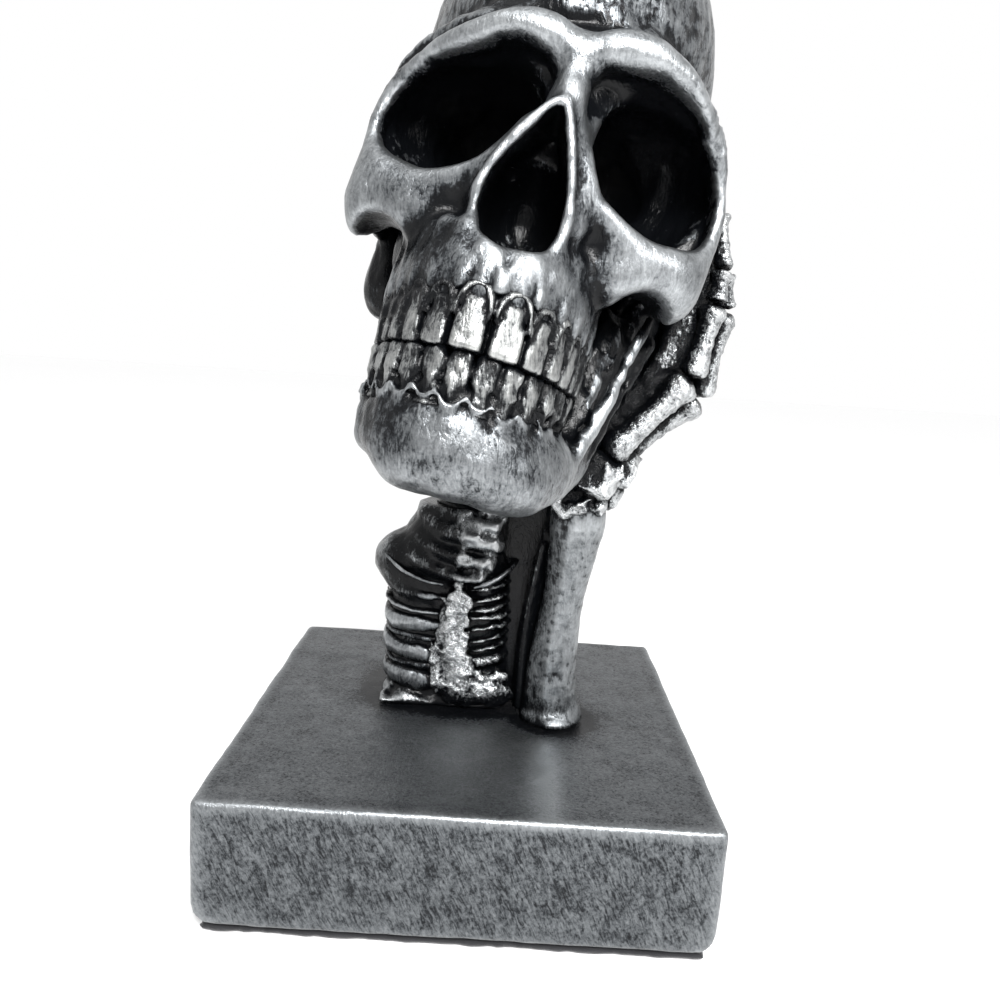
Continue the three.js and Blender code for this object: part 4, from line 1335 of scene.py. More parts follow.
    @staticmethod
    def eye_sockets(clay: Clay) -> None:
        """Cuts the two eye sockets, which droop outwards and are not quite alike.

        Args:
            clay: the block that is worked on.
        """
        for outline in (
            ((10.8, 15.9), (14.2, 16.0), (17.6, 15.4), (21.2, 14.0), (24.2, 11.4), (25.9, 7.4), (25.9, 3.0),
             (24.4, -0.8), (20.6, -2.4), (15.6, -2.2), (11.0, -1.0), (8.0, 1.0), (6.2, 4.2), (6.0, 8.4),
             (7.2, 12.8)),
            ((-8.4, 15.9), (-5.0, 15.6), (-2.8, 13.6), (-2.0, 10.8), (-3.0, 7.4), (-5.2, 3.6), (-8.4, 0.6),
             (-12.0, -0.9), (-15.6, -1.2), (-19.6, -0.4), (-22.8, 2.0), (-24.2, 5.6), (-23.0, 9.6),
             (-20.0, 12.4), (-15.4, 13.4), (-11.8, 14.4)),
        ):
            clay.cut(Punch(outline, back=-27.0), 1.6)
        # Rounded hollows behind the outlines.
        for centre, radii, soft, twin in (
            ((14.4, -27.5, 7.6), (10.4, 9, 9.4), 1.5, False),
            ((-12.4, -28, 7.6), (10.2, 9, 8.6), 1.5, False),
            ((10.5, -22, 8.6), (6.5, 9, 6.0), 2, True),
            ((9.0, -25, 11.4), (5.0, 8, 4.8), 1.2, True),
            ((-7.6, -30, 10.6), (5.6, 8, 5.6), 1.2, False),
            ((-16.6, -29, 7.2), (7.0, 8, 6.4), 1.2, False),
            ((11.2, -30, 10.6), (6.0, 8, 5.8), 1.2, False),
            ((19.4, -29, 8.0), (6.0, 7, 6.4), 1.2, False),
        ):
            clay.cut(Egg(centre, radii), soft, twin)
        # Walls that close the outer sides again.
        for wall in (
            ((23.4, -29.4, 12.8), (25.5, -28.2, 9.0), (26.4, -28.0, 5.0), (26.2, -28.2, 0.6),
             (24.6, -29.4, -2.6)),
            ((-21.0, -30.0, 12.6), (-23.4, -28.6, 9.6), (-24.6, -28.2, 5.6), (-24.2, -28.4, 1.6),
             (-22.2, -29.6, -1.4)),
        ):
            clay.add(Strand(wall, [0.9, 0.85, 0.8, 0.85, 1.0], stretch=(1, 2.6, 1)), 1.0)
        # Sharp outer rims.
        for rim, thinnest in (
            (((21.6, -34.0, 14.2), (25.0, -31.6, 10.4), (26.5, -30.4, 5.4), (26.3, -30.4, 0.6),
              (24.4, -31.2, -2.8), (20.0, -33.4, -4.2)), 0.65),
            (((-19.6, -34.2, 13.2), (-22.9, -31.8, 10.4), (-24.5, -30.6, 5.6), (-24.1, -30.8, 1.6),
              (-21.8, -32.0, -1.4), (-17.4, -34.2, -2.8)), 0.6),
        ):
            clay.add(Strand(rim, [1.2, 0.8, thinnest, 0.8, 1.2, 1.5]), 1.2)

    @staticmethod
    def nose(clay: Clay) -> None:
        """Models the nose bridge, cuts the nose and lays a wire-like rim round it.

        Args:
            clay: the block that is worked on.
        """
        clay.add(Strand([(1.2, -39.5, 16.5), (1.5, -42.4, 10.6)], [2.8, 1.7]), 2.2)
        clay.add(Strand([(1.4, -40.8, 11), (5.0, -40.2, 1), (6.0, -39.4, -5)], [1.8, 2.0, 2.2]), 2.2)
        clay.add(Strand([(1.2, -40.8, 11), (-4.6, -40.2, 1), (-6.2, -39.2, -5)], [1.6, 1.9, 2.2]), 2.2)
        rim = (
            (1.1, -43.9, 8.9), (2.3, -43.9, 6.2), (3.7, -43.6, 2.0), (4.8, -43.0, -2.4), (5.3, -42.3, -5.8),
            (5.0, -41.9, -8.8), (4.0, -42.2, -11.0), (2.0, -43.0, -12.2), (0.1, -43.7, -12.2),
            (-1.7, -43.6, -12.4), (-4.0, -42.4, -12.0), (-5.9, -41.8, -10.4), (-6.8, -41.9, -7.6),
            (-7.0, -42.5, -4.6), (-6.3, -43.0, -1.6), (-5.0, -43.4, 1.3), (-2.8, -43.9, 4.8),
            (-0.6, -44.0, 8.0),
        )
        clay.cut(Punch([(x * 0.9 + 0.03, z * 0.93 - 0.1) for x, _, z in rim], back=-33.0), 0.8)
        clay.cut(Egg((-0.6, -34, -3.6), (5.6, 9, 8.4)), 1.5)
        around = [*rim, rim[0]]
        # A wall behind the wire, so that the rim is closed from the side.
        clay.add(Strand([(1.06 * x, y + 1.7, 1.03 * z) for x, y, z in around], [0.75] * len(around),
                        stretch=(1, 2.4, 1), steps=4), 0.6)
        clay.add(Strand(around, [0.72] * len(around), steps=4), 0.6)

    @staticmethod
    def weathering(points: np.ndarray) -> np.ndarray:
        """Gives how far the vault's tool marks and the face's unevenness raise the skin.

        Args:
            points: where, in the frame that the form is modelled in.

        Returns:
            One height for each point.
        """
        lumps = 0.14 * Grain(3).at(points, 5.0) + 0.09 * Grain(4).at(points, 1.9)
        bald = eased(-1.5, 1.0, points[..., 2] - 22.5 + 0.02 * points[..., 0] ** 2)
        hair = np.maximum(bald, eased(-30.0, -24.0, points[..., 1]))
        wavy = points + 1.3 * Grain(6).at(points, 4.0)[..., None]
        strands = 1 - np.abs(Grain(5).at(wavy, 1.5, (1, 1, 3.4))) * 2.2
        return lumps + hair * 0.2 * strands

    @staticmethod
    def cranium_shade(points: np.ndarray) -> np.ndarray:
        """Gives the silver that parts of the cranium get more than their shape says, and painted highlights
        and shade.

        Args:
            points: where, in the skull's frame.

        Returns:
            How much more silver each point gets, painted light and shade included.
        """
        x, y, z = points.T
        ragged = 1.0 * Grain(41).at(points, 0.9) + 1.4 * Grain(42).at(points, 2.6)
        splash = eased(-0.1, 0.4, Grain(43).at(points, 0.7))
        front = 1 - eased(-32.0, -26.0, y)

        def spot(at_x: float, at_z: float, wide: float, tall: float) -> np.ndarray:
            """Gives 1 at a place of the front view, and less round it."""
            return np.exp(-((x - at_x) / wide) ** 2 - ((z - at_z) / tall) ** 2)

        forehead = eased(20.0, 24.0, z + 0.02 * x ** 2)
        # Painted shade: the skull's underside behind the cheeks, round the ear bones, is darkened where the
        # skull shades itself.
        under = eased(-24.0, -20.0, y) * (1 - eased(-6.0, -1.0, z)) * (1 - eased(8.0, 14.0, y))
        socket = spot(14.8, 7.0, 13.0, 11.5) > 0.37
        ceiling = z > 10.5
        edge = np.where(ceiling, -39.2 + 0.42 * np.maximum(x - 10.0, 0), -31.0)
        deep = eased(-0.6, 0.6, y + 0.8 * ragged - edge) * socket * (y < -12)
        far_edge = np.where(ceiling, -39.4 + 0.45 * np.maximum(-12.0 - x, 0), -31.0)
        far_socket = spot(-13.0, 7.0, 13.0, 11.0) > 0.37
        deep = np.maximum(deep, eased(-0.6, 0.6, y + 0.6 * ragged - far_edge) * far_socket * (y < -12))
        scratches = 1 - eased(0.0, 0.1, np.abs(Grain(46).at(points, 2.4)))
        bent = points + 1.6 * Grain(47).at(points, 3.0)[:, None]
        squiggles = 1 - eased(0.04, 0.2, np.abs(Grain(48).at(bent, 1.5, (1, 1, 1.7))))
        # Silver specks splashed in the sockets and the nose, with painted highlights where their glossy black
        # would catch the lamps.
        specks_and_glints = splash * (spot(-21.0, 4.5, 2.6, 4.0) + spot(12.5, 1.8, 3.2, 2.4) + spot(25.0, 5.0, 1.6, 4.0)
                        + spot(-2.8, -5.5, 1.3, 2.4) + spot(1.2, -6.0, 0.9, 1.6))
        # Painted highlights: the spot at the glabella (x 0.5, z 15) and the spot on the right cheekbone (x
        # 17, z -5).
        return (0.2 * spot(0.5, 15.0, 5.5, 5.5) * front - 0.4 * spot(-10.5, -12.0, 6.0, 5.0) * front
                + 0.2 * spot(-1.0, -14.5, 6.0, 4.0) * front + 0.25 * spot(17.0, -5.0, 7.0, 4.5) * front
                + forehead * (0.12 * eased(-6.0, 8.0, x) - 0.02 - 0.42 * squiggles) - 0.9 * under
                + 0.4 * spot(6.0, 22.5, 9.0, 2.2) * front
                - (0.6 - 0.3 * scratches) * deep + 1.2 * specks_and_glints * (y > -38) * (y < -12)
                + 0.15 * spot(8.5, -12.5, 2.5, 4.0) * front)

    def jaw(self) -> None:
        """Models the lower jaw."""
        clay = Clay((-26, -48, -48), (26, 4, -1), self.cell * 0.95)
        bow = ((-15.6, -8.5, -28.5), (-13.8, -15, -33), (-12.0, -23.5, -35.8), (-10.1, -31.5, -37.4),
               (-6.9, -37, -38), (-0.6, -38.9, -37.5), (6.4, -37.2, -38), (11.4, -31.5, -37.2),
               (14.0, -23.5, -35.4), (15.9, -15, -33), (17.2, -8.5, -28.5))
        clay.add(Strand(bow, [3.2, 3.3, 3.5, 4.0, 4.4, 4.4, 4.4, 4.0, 3.5, 3.3, 3.3], stretch=(1, 1, 1.35)))
        # Chin, with a knob at each side.
        clay.add(Egg((-0.2, -38.7, -39.7), (8.0, 4.8, 4.7)), 3)
        clay.add(Egg((7.0, -36.0, -40.6), (4.8, 4.4, 3.6)), 3)
        clay.add(Egg((-6.8, -36.0, -40.4), (4.4, 4.4, 3.6)), 3)
        # Floor of the mouth.
        clay.add(Egg((-0.3, -17, -28), (14.0, 17, 10)), 3)
        for k, place in enumerate(self.lower.places()):
            reach = place.thick * 0.5 - 2.2
            foot, top = place.beside(0, reach - 0.7), place.beside(0, reach + 0.1)
            clay.add(Strand([(*foot, -38.0), (*top, -34.8), (*place.beside(0, reach - 0.4), -32.4)],
                            [2.6, 2.2, 1.7]), 1.8)
            # The gum's edge hangs in scallops between the teeth.
            drop = 0.4 * math.sin(2.1 * k)
            scallop = ((-0.5, -31.6), (-0.28, -32.6), (0.0, -33.0), (0.28, -32.6), (0.5, -31.6))
            line = [(*place.beside(place.width * across, place.thick * 0.5 + 0.1), z - drop)
                    for across, z in scallop]
            clay.add(Strand(line, [0.35, 0.45, 0.5, 0.45, 0.35], steps=3), 0.7)
        # The branches that go up to the hinges, then their front edges.
        for line in (((17.3, -9, -29), (19.4, -7, -17), (21.4, -4.5, -6.5)),
                     ((-15.0, -9, -29), (-16.2, -7, -17), (-18.4, -4.5, -6.5))):
            clay.add(Strand(line, [3.1, 2.9, 2.2], stretch=(0.7, 2.2, 1)), 3)
        for line in (((17, -14, -24), (18.6, -15.5, -13), (20, -16.5, -7)),
                     ((-14.4, -14, -24), (-15.4, -15.5, -13), (-17.0, -16.5, -7))):
            clay.add(Strand(line, [3.0, 2.2, 1.6], stretch=(0.7, 1.4, 1)), 2.5)
        # Two cords that run up from the jaw's corner to the cheek, and the flesh behind them.
        cord = ((14.8, -28.6, -35), (17.0, -26.6, -29), (18.9, -24.8, -22), (20.4, -23.4, -15),
                (21.8, -22.4, -10))
        clay.add(Strand(cord, [1.4, 1.2, 1.05, 0.95, 0.9]), 0.6)
        clay.add(Strand([(17.6, -20, -33), (19.8, -18.6, -25), (21.8, -17.6, -18), (23.2, -17.4, -12.4)],
                        [1.2, 1.0, 0.8, 0.8]), 0.8)
        clay.add(Strand([(16.4, -21, -31), (18.4, -18.6, -22), (20.4, -17, -12)], [2.2, 1.9, 1.4],
                        stretch=(0.7, 1.5, 1)), 1.6)
        # A torn sheet beside the cords, with thin streaks that fan up from the jaw's corner.
        sheet = ((13.0, -25.0, -34.0), (14.4, -23.0, -28.0), (15.6, -21.4, -21.5), (17.2, -20.2, -14.0))
        clay.add(Strand(sheet, [1.6, 1.9, 2.0, 1.6]), 1.2)
        for fan in range(4):
            lean = -2.6 + 1.15 * fan
            clay.add(Strand([(14.0, -26.8, -33.6), (15.0 + 0.45 * lean, -25.2, -28.0),
                             (16.2 + 0.8 * lean, -23.8, -22.0), (17.6 + lean, -22.4, -15.0)],
                            [0.55, 0.55, 0.5, 0.35]), 0.3)
        # Sheets of resin that close the mouth behind the teeth and under the cheeks.
        clay.add(Strand([(12.4, -18, -33), (13.2, -17.5, -24), (15.4, -16, -12)], [3.6, 3.8, 3.6],
                        stretch=(0.8, 1.7, 1)), 2)
        clay.add(Strand([(21.0, -13, -18), (22.6, -12, -8)], [2.6, 2.6], stretch=(0.8, 2, 1)), 2)
        clay.add(Strand([(-12.4, -18, -33), (-13.0, -17.5, -24), (-15.0, -16, -12)], [3.6, 3.6, 3.4],
                        stretch=(0.8, 1.7, 1)), 2)
        clay.roughen(lambda p: 0.14 * Grain(8).at(p, 3.2) + 0.12 * Grain(9).at(p, 1.3)
                     + 0.35 * eased(11.0, 13.0, p[..., 0]) * eased(-36.0, -33.0, p[..., 2])
                     * Grain(10).at(p, 1.0, (1, 1, 2)))
        clay.trim((-25, -47, -47), (25, 3, -2))
        self.cast("jaw_casting", ["lower_jaw"], clay, pose=self.pose, shade=self.jaw_shade)

    @staticmethod
    def jaw_shade(points: np.ndarray) -> np.ndarray:
        """Gives the silver that parts of the jaw get more than their shape says, and painted light and shade.

        Args:
            points: where, in the skull's frame.

        Returns:
            How much more silver each point gets, painted light and shade included.
        """
        x, y, z = points.T
        # Painted shade: the jaw's branches behind the cheeks are darkened, except along the cords.
        shaded_ramus = eased(-27.0, -21.0, y) * eased(-35.0, -29.0, z)
        cords = np.exp(-((x - 17.6 - (z + 18.0) * 0.22) / 2.6) ** 2) * eased(-30.0, -26.0, y) * (y < -18)
        torn = cords * Grain(44).at(points, 1.0, (1, 1, 2.5))
        # Painted highlight on the middle of the chin.
        chin_highlight = np.exp(-((x + 3.0) ** 2 / 18.0 + (z + 38.0) ** 2 / 14.0))
        corner = np.exp(-((x + 12.0) ** 2 / 20.0 + (z + 37.0) ** 2 / 20.0))
        gum = np.exp(-((z + 32.6) / 1.2) ** 2) * (1 - eased(-32.0, -28.0, y))
        return (0.16 * chin_highlight - 0.4 * corner + 0.2 * gum - 1.1 * shaded_ramus * (1 - cords) + 0.2 * cords
                + 0.5 * torn - 0.12 * (1 - eased(-39.0, -35.0, z)))

    def arch(self, place: Place) -> list[tuple[float, float]]:
        """Gives the line of the gum over an upper tooth: shares of its width, and heights.

        Args:
            place: where the tooth stands.

        Returns:
            The line's points.
        """
        rises = ((-0.5, 0.52), (-0.46, 0.72), (-0.27, 0.95), (0.0, 1.02), (0.27, 0.95), (0.46, 0.72),
                 (0.5, 0.52))
        return [(across, self.upper.bite + place.tall * rise) for across, rise in rises]

    def teeth_shade(self, points: np.ndarray) -> np.ndarray:
        """Gives a dark line round each upper tooth, and bright gum above it.

        Args:
            points: where, in the skull's frame.

        Returns:
            How much more silver each point gets.
        """
        least = np.full(len(points), np.inf)
        for place in self.upper.places():
            line = [(*place.beside(place.width * across, place.thick * 0.5), z)
                    for across, z in self.arch(place)]
            for spot in through(line, [1.0] * len(line), 6)[0]:
                least = np.minimum(least, length_of(points - spot + np.array([0, 0, 0.25])))
        return 0.08 - 0.016 * np.abs(points[:, 0] - 2.5) - 0.8 * np.exp(-(least / 0.5) ** 2)

    def upper_teeth(self) -> None:
        """Models the upper teeth, with thin raised arches of gum between their roots."""
        row = self.upper
        clay = Clay((-19, -48, -28), (16, -18, -14), self.tooth_cell)
        clay.add(Egg((*row.middle, -20.2), (row.radii[0] + 0.5, row.radii[1] + 0.5, 6.4)), 0.5)
        for k, place in enumerate(row.places()):
            middle = place.beside(0, 0.2)
            heading = (4.0 * math.sin(2.3 * k), 0, place.heading)
            clay.add(Slab((*middle, row.bite + place.tall * 0.3),
                          (place.width * 0.49, place.thick * 0.5, place.tall * 0.3),
                          min(0.7, place.width * 0.2), heading), 0.1)
            clay.add(Slab((*middle, row.bite + place.tall * 0.55),
                          (place.width * 0.48, place.thick * 0.52, place.tall * 0.45), place.width * 0.42,
                          heading), 0.2)
        for place in row.places():
            # Gum that arches over the tooth, behind a thin raised edge.
            out = place.thick * 0.5
            deep = (0.3, 0.5, 1.0, 1.3, 1.0, 0.5, 0.3)
            flesh = [(*place.beside(place.width * across, out - thick + 0.1), z + thick)
                     for (across, z), thick in zip(self.arch(place), deep)]
            clay.add(Strand(flesh, deep, steps=3), 0.3)
            edge = [(*place.beside(place.width * across, out + 0.1), z + 0.3)
                    for across, z in self.arch(place)]
            clay.add(Strand(edge, [0.3, 0.34, 0.4, 0.42, 0.4, 0.34, 0.3], steps=3), 0.3)
        clay.roughen(lambda p: 0.1 * Grain(11).at(p, 0.7, (1, 1, 5)) + 0.06 * Grain(12).at(p, 0.8))
        clay.trim((-18.5, -47, -27.5), (15.5, -18.6, row.gum))
        self.cast("upper_teeth_casting", ["upper_teeth"], clay, Finish.TEETH, "teeth", self.pose, rounds=1,
                  shade=self.teeth_shade)

    def lower_teeth(self) -> None:
        """Models the lower teeth, rough and stained, with scallops of gum at their feet."""
        row = self.lower
        clay = Clay((-19, -48, -36), (16, -18, -24.5), self.tooth_cell)
        clay.add(Egg((*row.middle, -31.8), (row.radii[0] + 0.9, row.radii[1] + 0.9, 5.8)), 0.5)
        for k, place in enumerate(row.places()):
            heading = (5.0 * math.sin(1.7 * k), 4.0 * math.sin(3.1 * k), place.heading)
            tall = place.tall * (1 + 0.05 * math.sin(2.9 * k))
            clay.add(Slab((*place.beside(0, 0.1), row.bite - tall * 0.34),
                          (place.width * 0.5, place.thick * 0.5, tall * 0.34), min(0.7, place.width * 0.22),
                          heading), 0.1)
            clay.add(Egg((*place.beside(0, 0.0), row.bite - tall * 0.62),
                         (place.width * 0.43, place.thick * 0.52, tall * 0.44), heading), 0.4)
            foot = place.beside(0, place.thick * 0.5 - 1.6)
            clay.add(Strand([(*foot, row.bite - tall * 1.05), (*foot, row.gum - 1.5)], [1.6, 2.1]), 0.8)
        clay.roughen(lambda p: 0.2 * Grain(13).at(p, 0.7, (1, 1, 4)) + 0.22 * Grain(14).at(p, 0.9))
        clay.trim((-18.5, -47, row.gum), (15.5, -18.6, -25.2))
        self.cast("lower_teeth_casting", ["lower_teeth"], clay, Finish.TEETH, "teeth", self.pose, rounds=1,
                  shade=-0.1)


@dataclass(frozen=True)
class Rib:
    """One rib, of one or two bars: each bar's height above the table in front and half its height."""

    bars: Sequence[tuple[float, float]]
    half_depth: float = 0.95
    offset: float = 0.75
    shade: float = 0.0


@dataclass
class Chest(Maker):
    """The chest with its ribs, the neck and the shoulders."""

    centre: tuple[float, float] = (-5.6, 7.3)
    half: tuple[float, float] = (10.8, 7.7)
    bend: float = 0.66
    neck_foot: Point = (-2.4, 6.8, 55.7)
    neck_count: int = 7
    left_ribs: Sequence[Rib] = (
        Rib([(26.9, 2.0)], 1.2, shade=0.1), Rib([(31.0, 1.1)], 1.1, shade=0.05),
        Rib([(33.6, 0.5), (35.2, 0.42)], 0.8), Rib([(37.3, 0.55)]), Rib([(39.5, 0.55)]),
        Rib([(41.3, 0.45), (43.0, 0.45)], 0.85), Rib([(45.1, 0.5)]),
    )
    right_ribs: Sequence[Rib] = (
        Rib([(26.6, 1.9)], 1.0, 0.35, -0.02), Rib([(29.6, 0.8)], 0.7, 0.2, -0.2),
        Rib([(32.2, 1.8)], 1.0, 0.35, -0.02), Rib([(35.0, 0.8)], 0.7, 0.2, -0.25),
        Rib([(37.7, 1.5)], 1.0, 0.5, 0.0), Rib([(40.5, 0.45)], 0.75, 0.5, -0.05),
        Rib([(43.2, 0.8)], 0.7, 0.2, -0.4),
    )

    def wall(self, swing: float, side: int, offset: float) -> tuple[float, float]:
        """Gives a place on the chest's wall, from the breast at 0 round the side to the back at 1.

        Args:
            swing: how far round.
            side: 1 on the figure's left, -1 on its right.
            offset: how far out from the wall.

        Returns:
            The place's x and y.
        """
        angle = (swing - 0.5) * math.pi

        def bent(value: float) -> float:
            """Bends a share so that the chest's plan is a rounded oblong."""
            return math.copysign(abs(value) ** self.bend, value)

        return (side * (self.half[0] + offset) * bent(math.cos(angle)) + self.centre[0],
                (self.half[1] + offset) * bent(math.sin(angle)) + self.centre[1])

    def build(self, tree: RodTree, neck_top: np.ndarray) -> None:
        """Models the chest, the ribs and the neck.

        Args:
            tree: the geometry nodes for rods.
            neck_top: where the neck meets the skull.
        """
        self.core()
        self.breastbone()
        for level in range(len(self.left_ribs)):
            self.rib(tree, level, 1, "left", self.left_ribs[level])
            self.rib(tree, level, -1, "right", self.right_ribs[level])
        self.collarbones(tree)
        self.backbone()
        self.neck(neck_top)

    def core(self) -> None:
        """Models the dark body behind the ribs, with a flange, the shoulders and the neck's foot."""
        clay = Clay((-22, -5, DECK - 1), (10, 19, 61), 0.42)
        x, y = self.centre
        clay.add(Slab((x, y, 35.8), (self.half[0], self.half[1], 14.5), 5.2))
        clay.add(Slab((x - 0.2, y, DECK - 0.1), (self.half[0] + 0.9, self.half[1] + 1.3, 1.2), 1.1), 3.4)
        clay.add(Egg((-13.2, 7.0, 48.6), (6.9, 6.8, 5.8)), 2.5)
        clay.add(Egg((1.2, 7.3, 48.8), (5.6, 6.0, 4.2)), 2)
        clay.add(Strand([(-8.8, 7.2, 48.0), (-6.0, 7.0, 52.6), (-3.8, 6.9, 57.6)], [6.6, 7.6, 7.9]), 3)
        # Soft folds that sweep from the neck's far side down across its front.
        for line, radii in (
            (((-10.6, 6.4, 59.0), (-9.6, 2.2, 57.4), (-6.2, -0.5, 55.9), (-2.4, -1.1, 55.0)),
             (1.3, 1.5, 1.4, 1.2)),
            (((-12.0, 6.0, 55.8), (-10.8, 1.4, 53.8), (-7.4, -0.5, 52.2), (-3.8, -1.0, 51.0)),
             (1.3, 1.5, 1.4, 1.2)),
            (((-13.0, 4.0, 53.0), (-11.4, 0.6, 50.8), (-8.2, -0.4, 48.8), (-5.0, -0.7, 47.6)),
             (1.2, 1.4, 1.3, 1.1)),
        ):
            clay.add(Strand(line, radii), 1.8)
        # Fronts of the lowest neck bones, like worn blocks.
        clay.add(Strand([(1.2, 1.6, 46.0), (1.6, 1.8, 52.0), (1.8, 2.2, 58.5)], [2.9, 3.1, 3.1]), 1.5)
        for middle, half, tilt in (
            ((0.4, 0.0, 57.4), (3.5, 1.7, 1.3), -4.0),
            ((0.2, -0.5, 54.0), (3.7, 1.8, 1.4), 3.0),
            ((-0.4, -0.7, 50.6), (3.6, 1.7, 1.4), 6.0),
            ((-1.2, -0.8, 47.6), (3.0, 1.4, 1.1), -8.0),
        ):
            clay.add(Slab(middle, half, 1.0, (0, tilt, 0)), 0.8)
        clay.draw(Stroke(((-18.5, 45.6), (-14.0, 43.8), (-8.0, 43.0)), 0.9, 0.35, 4.0))
        clay.roughen(lambda p: (0.14 + 0.4 * eased(-6.0, -3.0, p[..., 0]) * eased(46.0, 48.0, p[..., 2]))
                     * (Grain(21).at(p, 1.7) + 0.7 * Grain(22).at(p, 0.9))
                     + 0.35 * (1 - eased(24.0, 27.0, p[..., 2])) * Grain(23).at(p, 1.5))
        clay.cut(Strand([(-1.4, 7.0, 63.2), (0.4, 7.4, 72.0)], [7.15, 7.15]), 0.2)
        clay.trim((-20.4, -3.9, DECK), (9.5, 18, 60.2))
        self.cast("chest_core_casting", ["chest_core"], clay, Finish.DARK, "dark", shade=self.core_shade)

    @staticmethod
    def core_shade(points: np.ndarray) -> np.ndarray:
        """Gives the silver that parts of the chest's core get more than their shape says.

        Args:
            points: where, in the part's frame.

        Returns:
            How much more silver each point gets.
        """
        x, y, z = points.T
        blocks = eased(-5.5, -3.0, x) * eased(46.0, 47.5, z) * (1 - eased(2.0, 4.0, y))
        flange = 1 - eased(24.6, 26.6, z)
        folds = eased(49.0, 52.0, z) * (1 - eased(-5.0, -3.0, x)) * (1 - eased(2.0, 5.0, y))
        shoulder = eased(41.0, 43.0, z) * (1 - eased(-9.0, -6.0, x)) * (1 - eased(48.0, 51.0, z))
        front = (1 - eased(1.0, 3.0, y)) * (1 - eased(40.0, 43.0, z))
        return 0.4 * blocks + 0.6 * flange - 0.4 * folds - 0.3 * shoulder + 0.12 * front

    def breastbone(self) -> None:
        """Models the breastbone, which widens to a rough sheet at its foot."""
        clay = Clay((-10, -6, DECK), (9, 4, 50), 0.34)
        y = self.centre[1] - self.half[1] - 1.5
        line = ((-3.3, y, 46.0), (-3.4, y - 0.1, 43.2), (-3.1, y, 40.0), (-3.5, y, 35.0), (-3.0, y, 30.0),
                (-2.0, y, 26.0))
        clay.add(Strand(line, [0.9, 2.3, 1.9, 2.4, 2.8, 3.2], stretch=(1, 0.42, 1)))
        clay.add(Strand([(-5.6, y + 0.9, 43), (-6.8, y + 0.8, 34), (-6.6, y + 0.8, 27)], [0.9, 1.5, 1.5],
                        stretch=(1, 0.6, 1)), 1.2)
        clay.add(Strand([(-3.6, y + 0.4, 24.6), (1.5, y + 0.2, 25.0), (6.4, y + 0.9, 25.4)], [1.5, 2.3, 1.9],
                        stretch=(1, 0.5, 1)), 1.2)
        clay.add(Strand([(1.6, y + 0.5, 28.0), (6.2, y + 1.0, 28.4)], [1.4, 1.2], stretch=(1, 0.5, 1)), 1.0)
        clay.roughen(lambda p: 0.4 * Grain(23).at(p, 2.2, (1, 1, 1.8)) + 0.3 * Grain(24).at(p, 0.8))
        clay.trim((-9, -5.4, DECK), (8.2, 4, 49.5))
        self.cast("breastbone_casting", ["breastbone"], clay, Finish.ROUGH, shade=0.18)

    def rib(self, tree: RodTree, level: int, side: int, name: str, rib: Rib) -> None:
        """Rolls one rib round the chest.

        Args:
            tree: the geometry nodes for rods.
            level: its number from the bottom, from 0.
            side: 1 on the figure's left, -1 on its right.
            name: left or right.
            rib: its sizes.
        """
        near = side > 0
        start = 0.075 if near else 0.0
        paths = []
        for bar, (foot, half) in enumerate(rib.bars):
            points, thick = [], []
            for share in np.linspace(0, 1, 15):
                swing = start + (0.93 - start) * float(share)
                wave = 0.22 * math.sin(7.0 * share + 2.1 * level + bar)
                points.append((*self.wall(swing, side, rib.offset), foot + 2.2 * swing + wave))
                thick.append(half * (1 + 0.14 * math.sin(11.0 * share + 1.3 * level)))
            thick[0] = thick[-1] = half * 0.5
            paths.append(Path3D(points, thick))

        def shade(points: np.ndarray) -> np.ndarray:
            """Gives the front of a rib more silver than its back."""
            away = 1 - eased(-11.0, -8.4, points[:, 0]) if rib.shade < 0 else 1.0
            return rib.shade * away + (0.3 if near else 0.14) - 0.1 * eased(4.0, 9.0, points[:, 1])

        finish, lumps = (Finish.ROUGH, 1.2) if near else (Finish.BONE, 0.8)
        self.rod(tree, f"rib_{name}_{level + 1}", paths, finish, "bone", shade, Points_Along=90,
                 Points_Round=16, Half_Depth=rib.half_depth / rib.bars[0][1], Half_Height=1.0,
                 Lump_Size=1.5, Lump_Height=lumps, Seed=3.1 * level + side)

    def collarbones(self, tree: RodTree) -> None:
        """Rolls the two collarbones.

        Args:
            tree: the geometry nodes for rods.
        """
        for name, thin, shade, line in (
            ("left", 0.65, 0.0,
             ((-0.6, -1.9, 45.9), (2.2, -2.1, 47.2), (5.2, -0.4, 48.9), (7.0, 3.6, 50.4), (7.4, 6.0, 50.6))),
            ("right", 0.45, -0.35,
             ((-6.2, -2.0, 46.2), (-9.6, -1.9, 46.7), (-13.6, -0.9, 48.0), (-17.0, 2.0, 50.0),
              (-18.4, 5.2, 51.0))),
        ):
            self.rod(tree, f"collarbone_{name}", [Path3D(line, [0.3, thin, thin, thin, 0.4])], Finish.BONE,
                     "bone", shade, Points_Along=70, Points_Round=14, Half_Depth=1.0, Half_Height=0.9,
                     Lump_Size=1.6, Lump_Height=0.5, Seed=9.3)

    def backbone(self) -> None:
        """Models the backbone's knobs."""
        x, y = self.centre
        back = y + self.half[1] + 2.2
        clay = Clay((x - 5, back - 4, DECK), (x + 5, back + 6, 55), 0.45)
        clay.add(Strand([(x, back, 24.6), (x, back, 52.0)], [2.0, 2.0]))
        for i in range(8):
            z = 25.6 + i * 3.45
            clay.add(Egg((x, back + 1.5, z), (1.3, 1.7, 1.35)), 0.7)
            clay.add(Egg((x, back, z), (2.7, 1.6, 0.9)), 0.7)
        clay.roughen(lambda p: 0.12 * Grain(26).at(p, 1.3))
        clay.trim((x - 4, back - 2.3, DECK + 0.1), (x + 4, back + 3.4, 54.0))
        self.cast("backbone_casting", ["backbone"], clay)

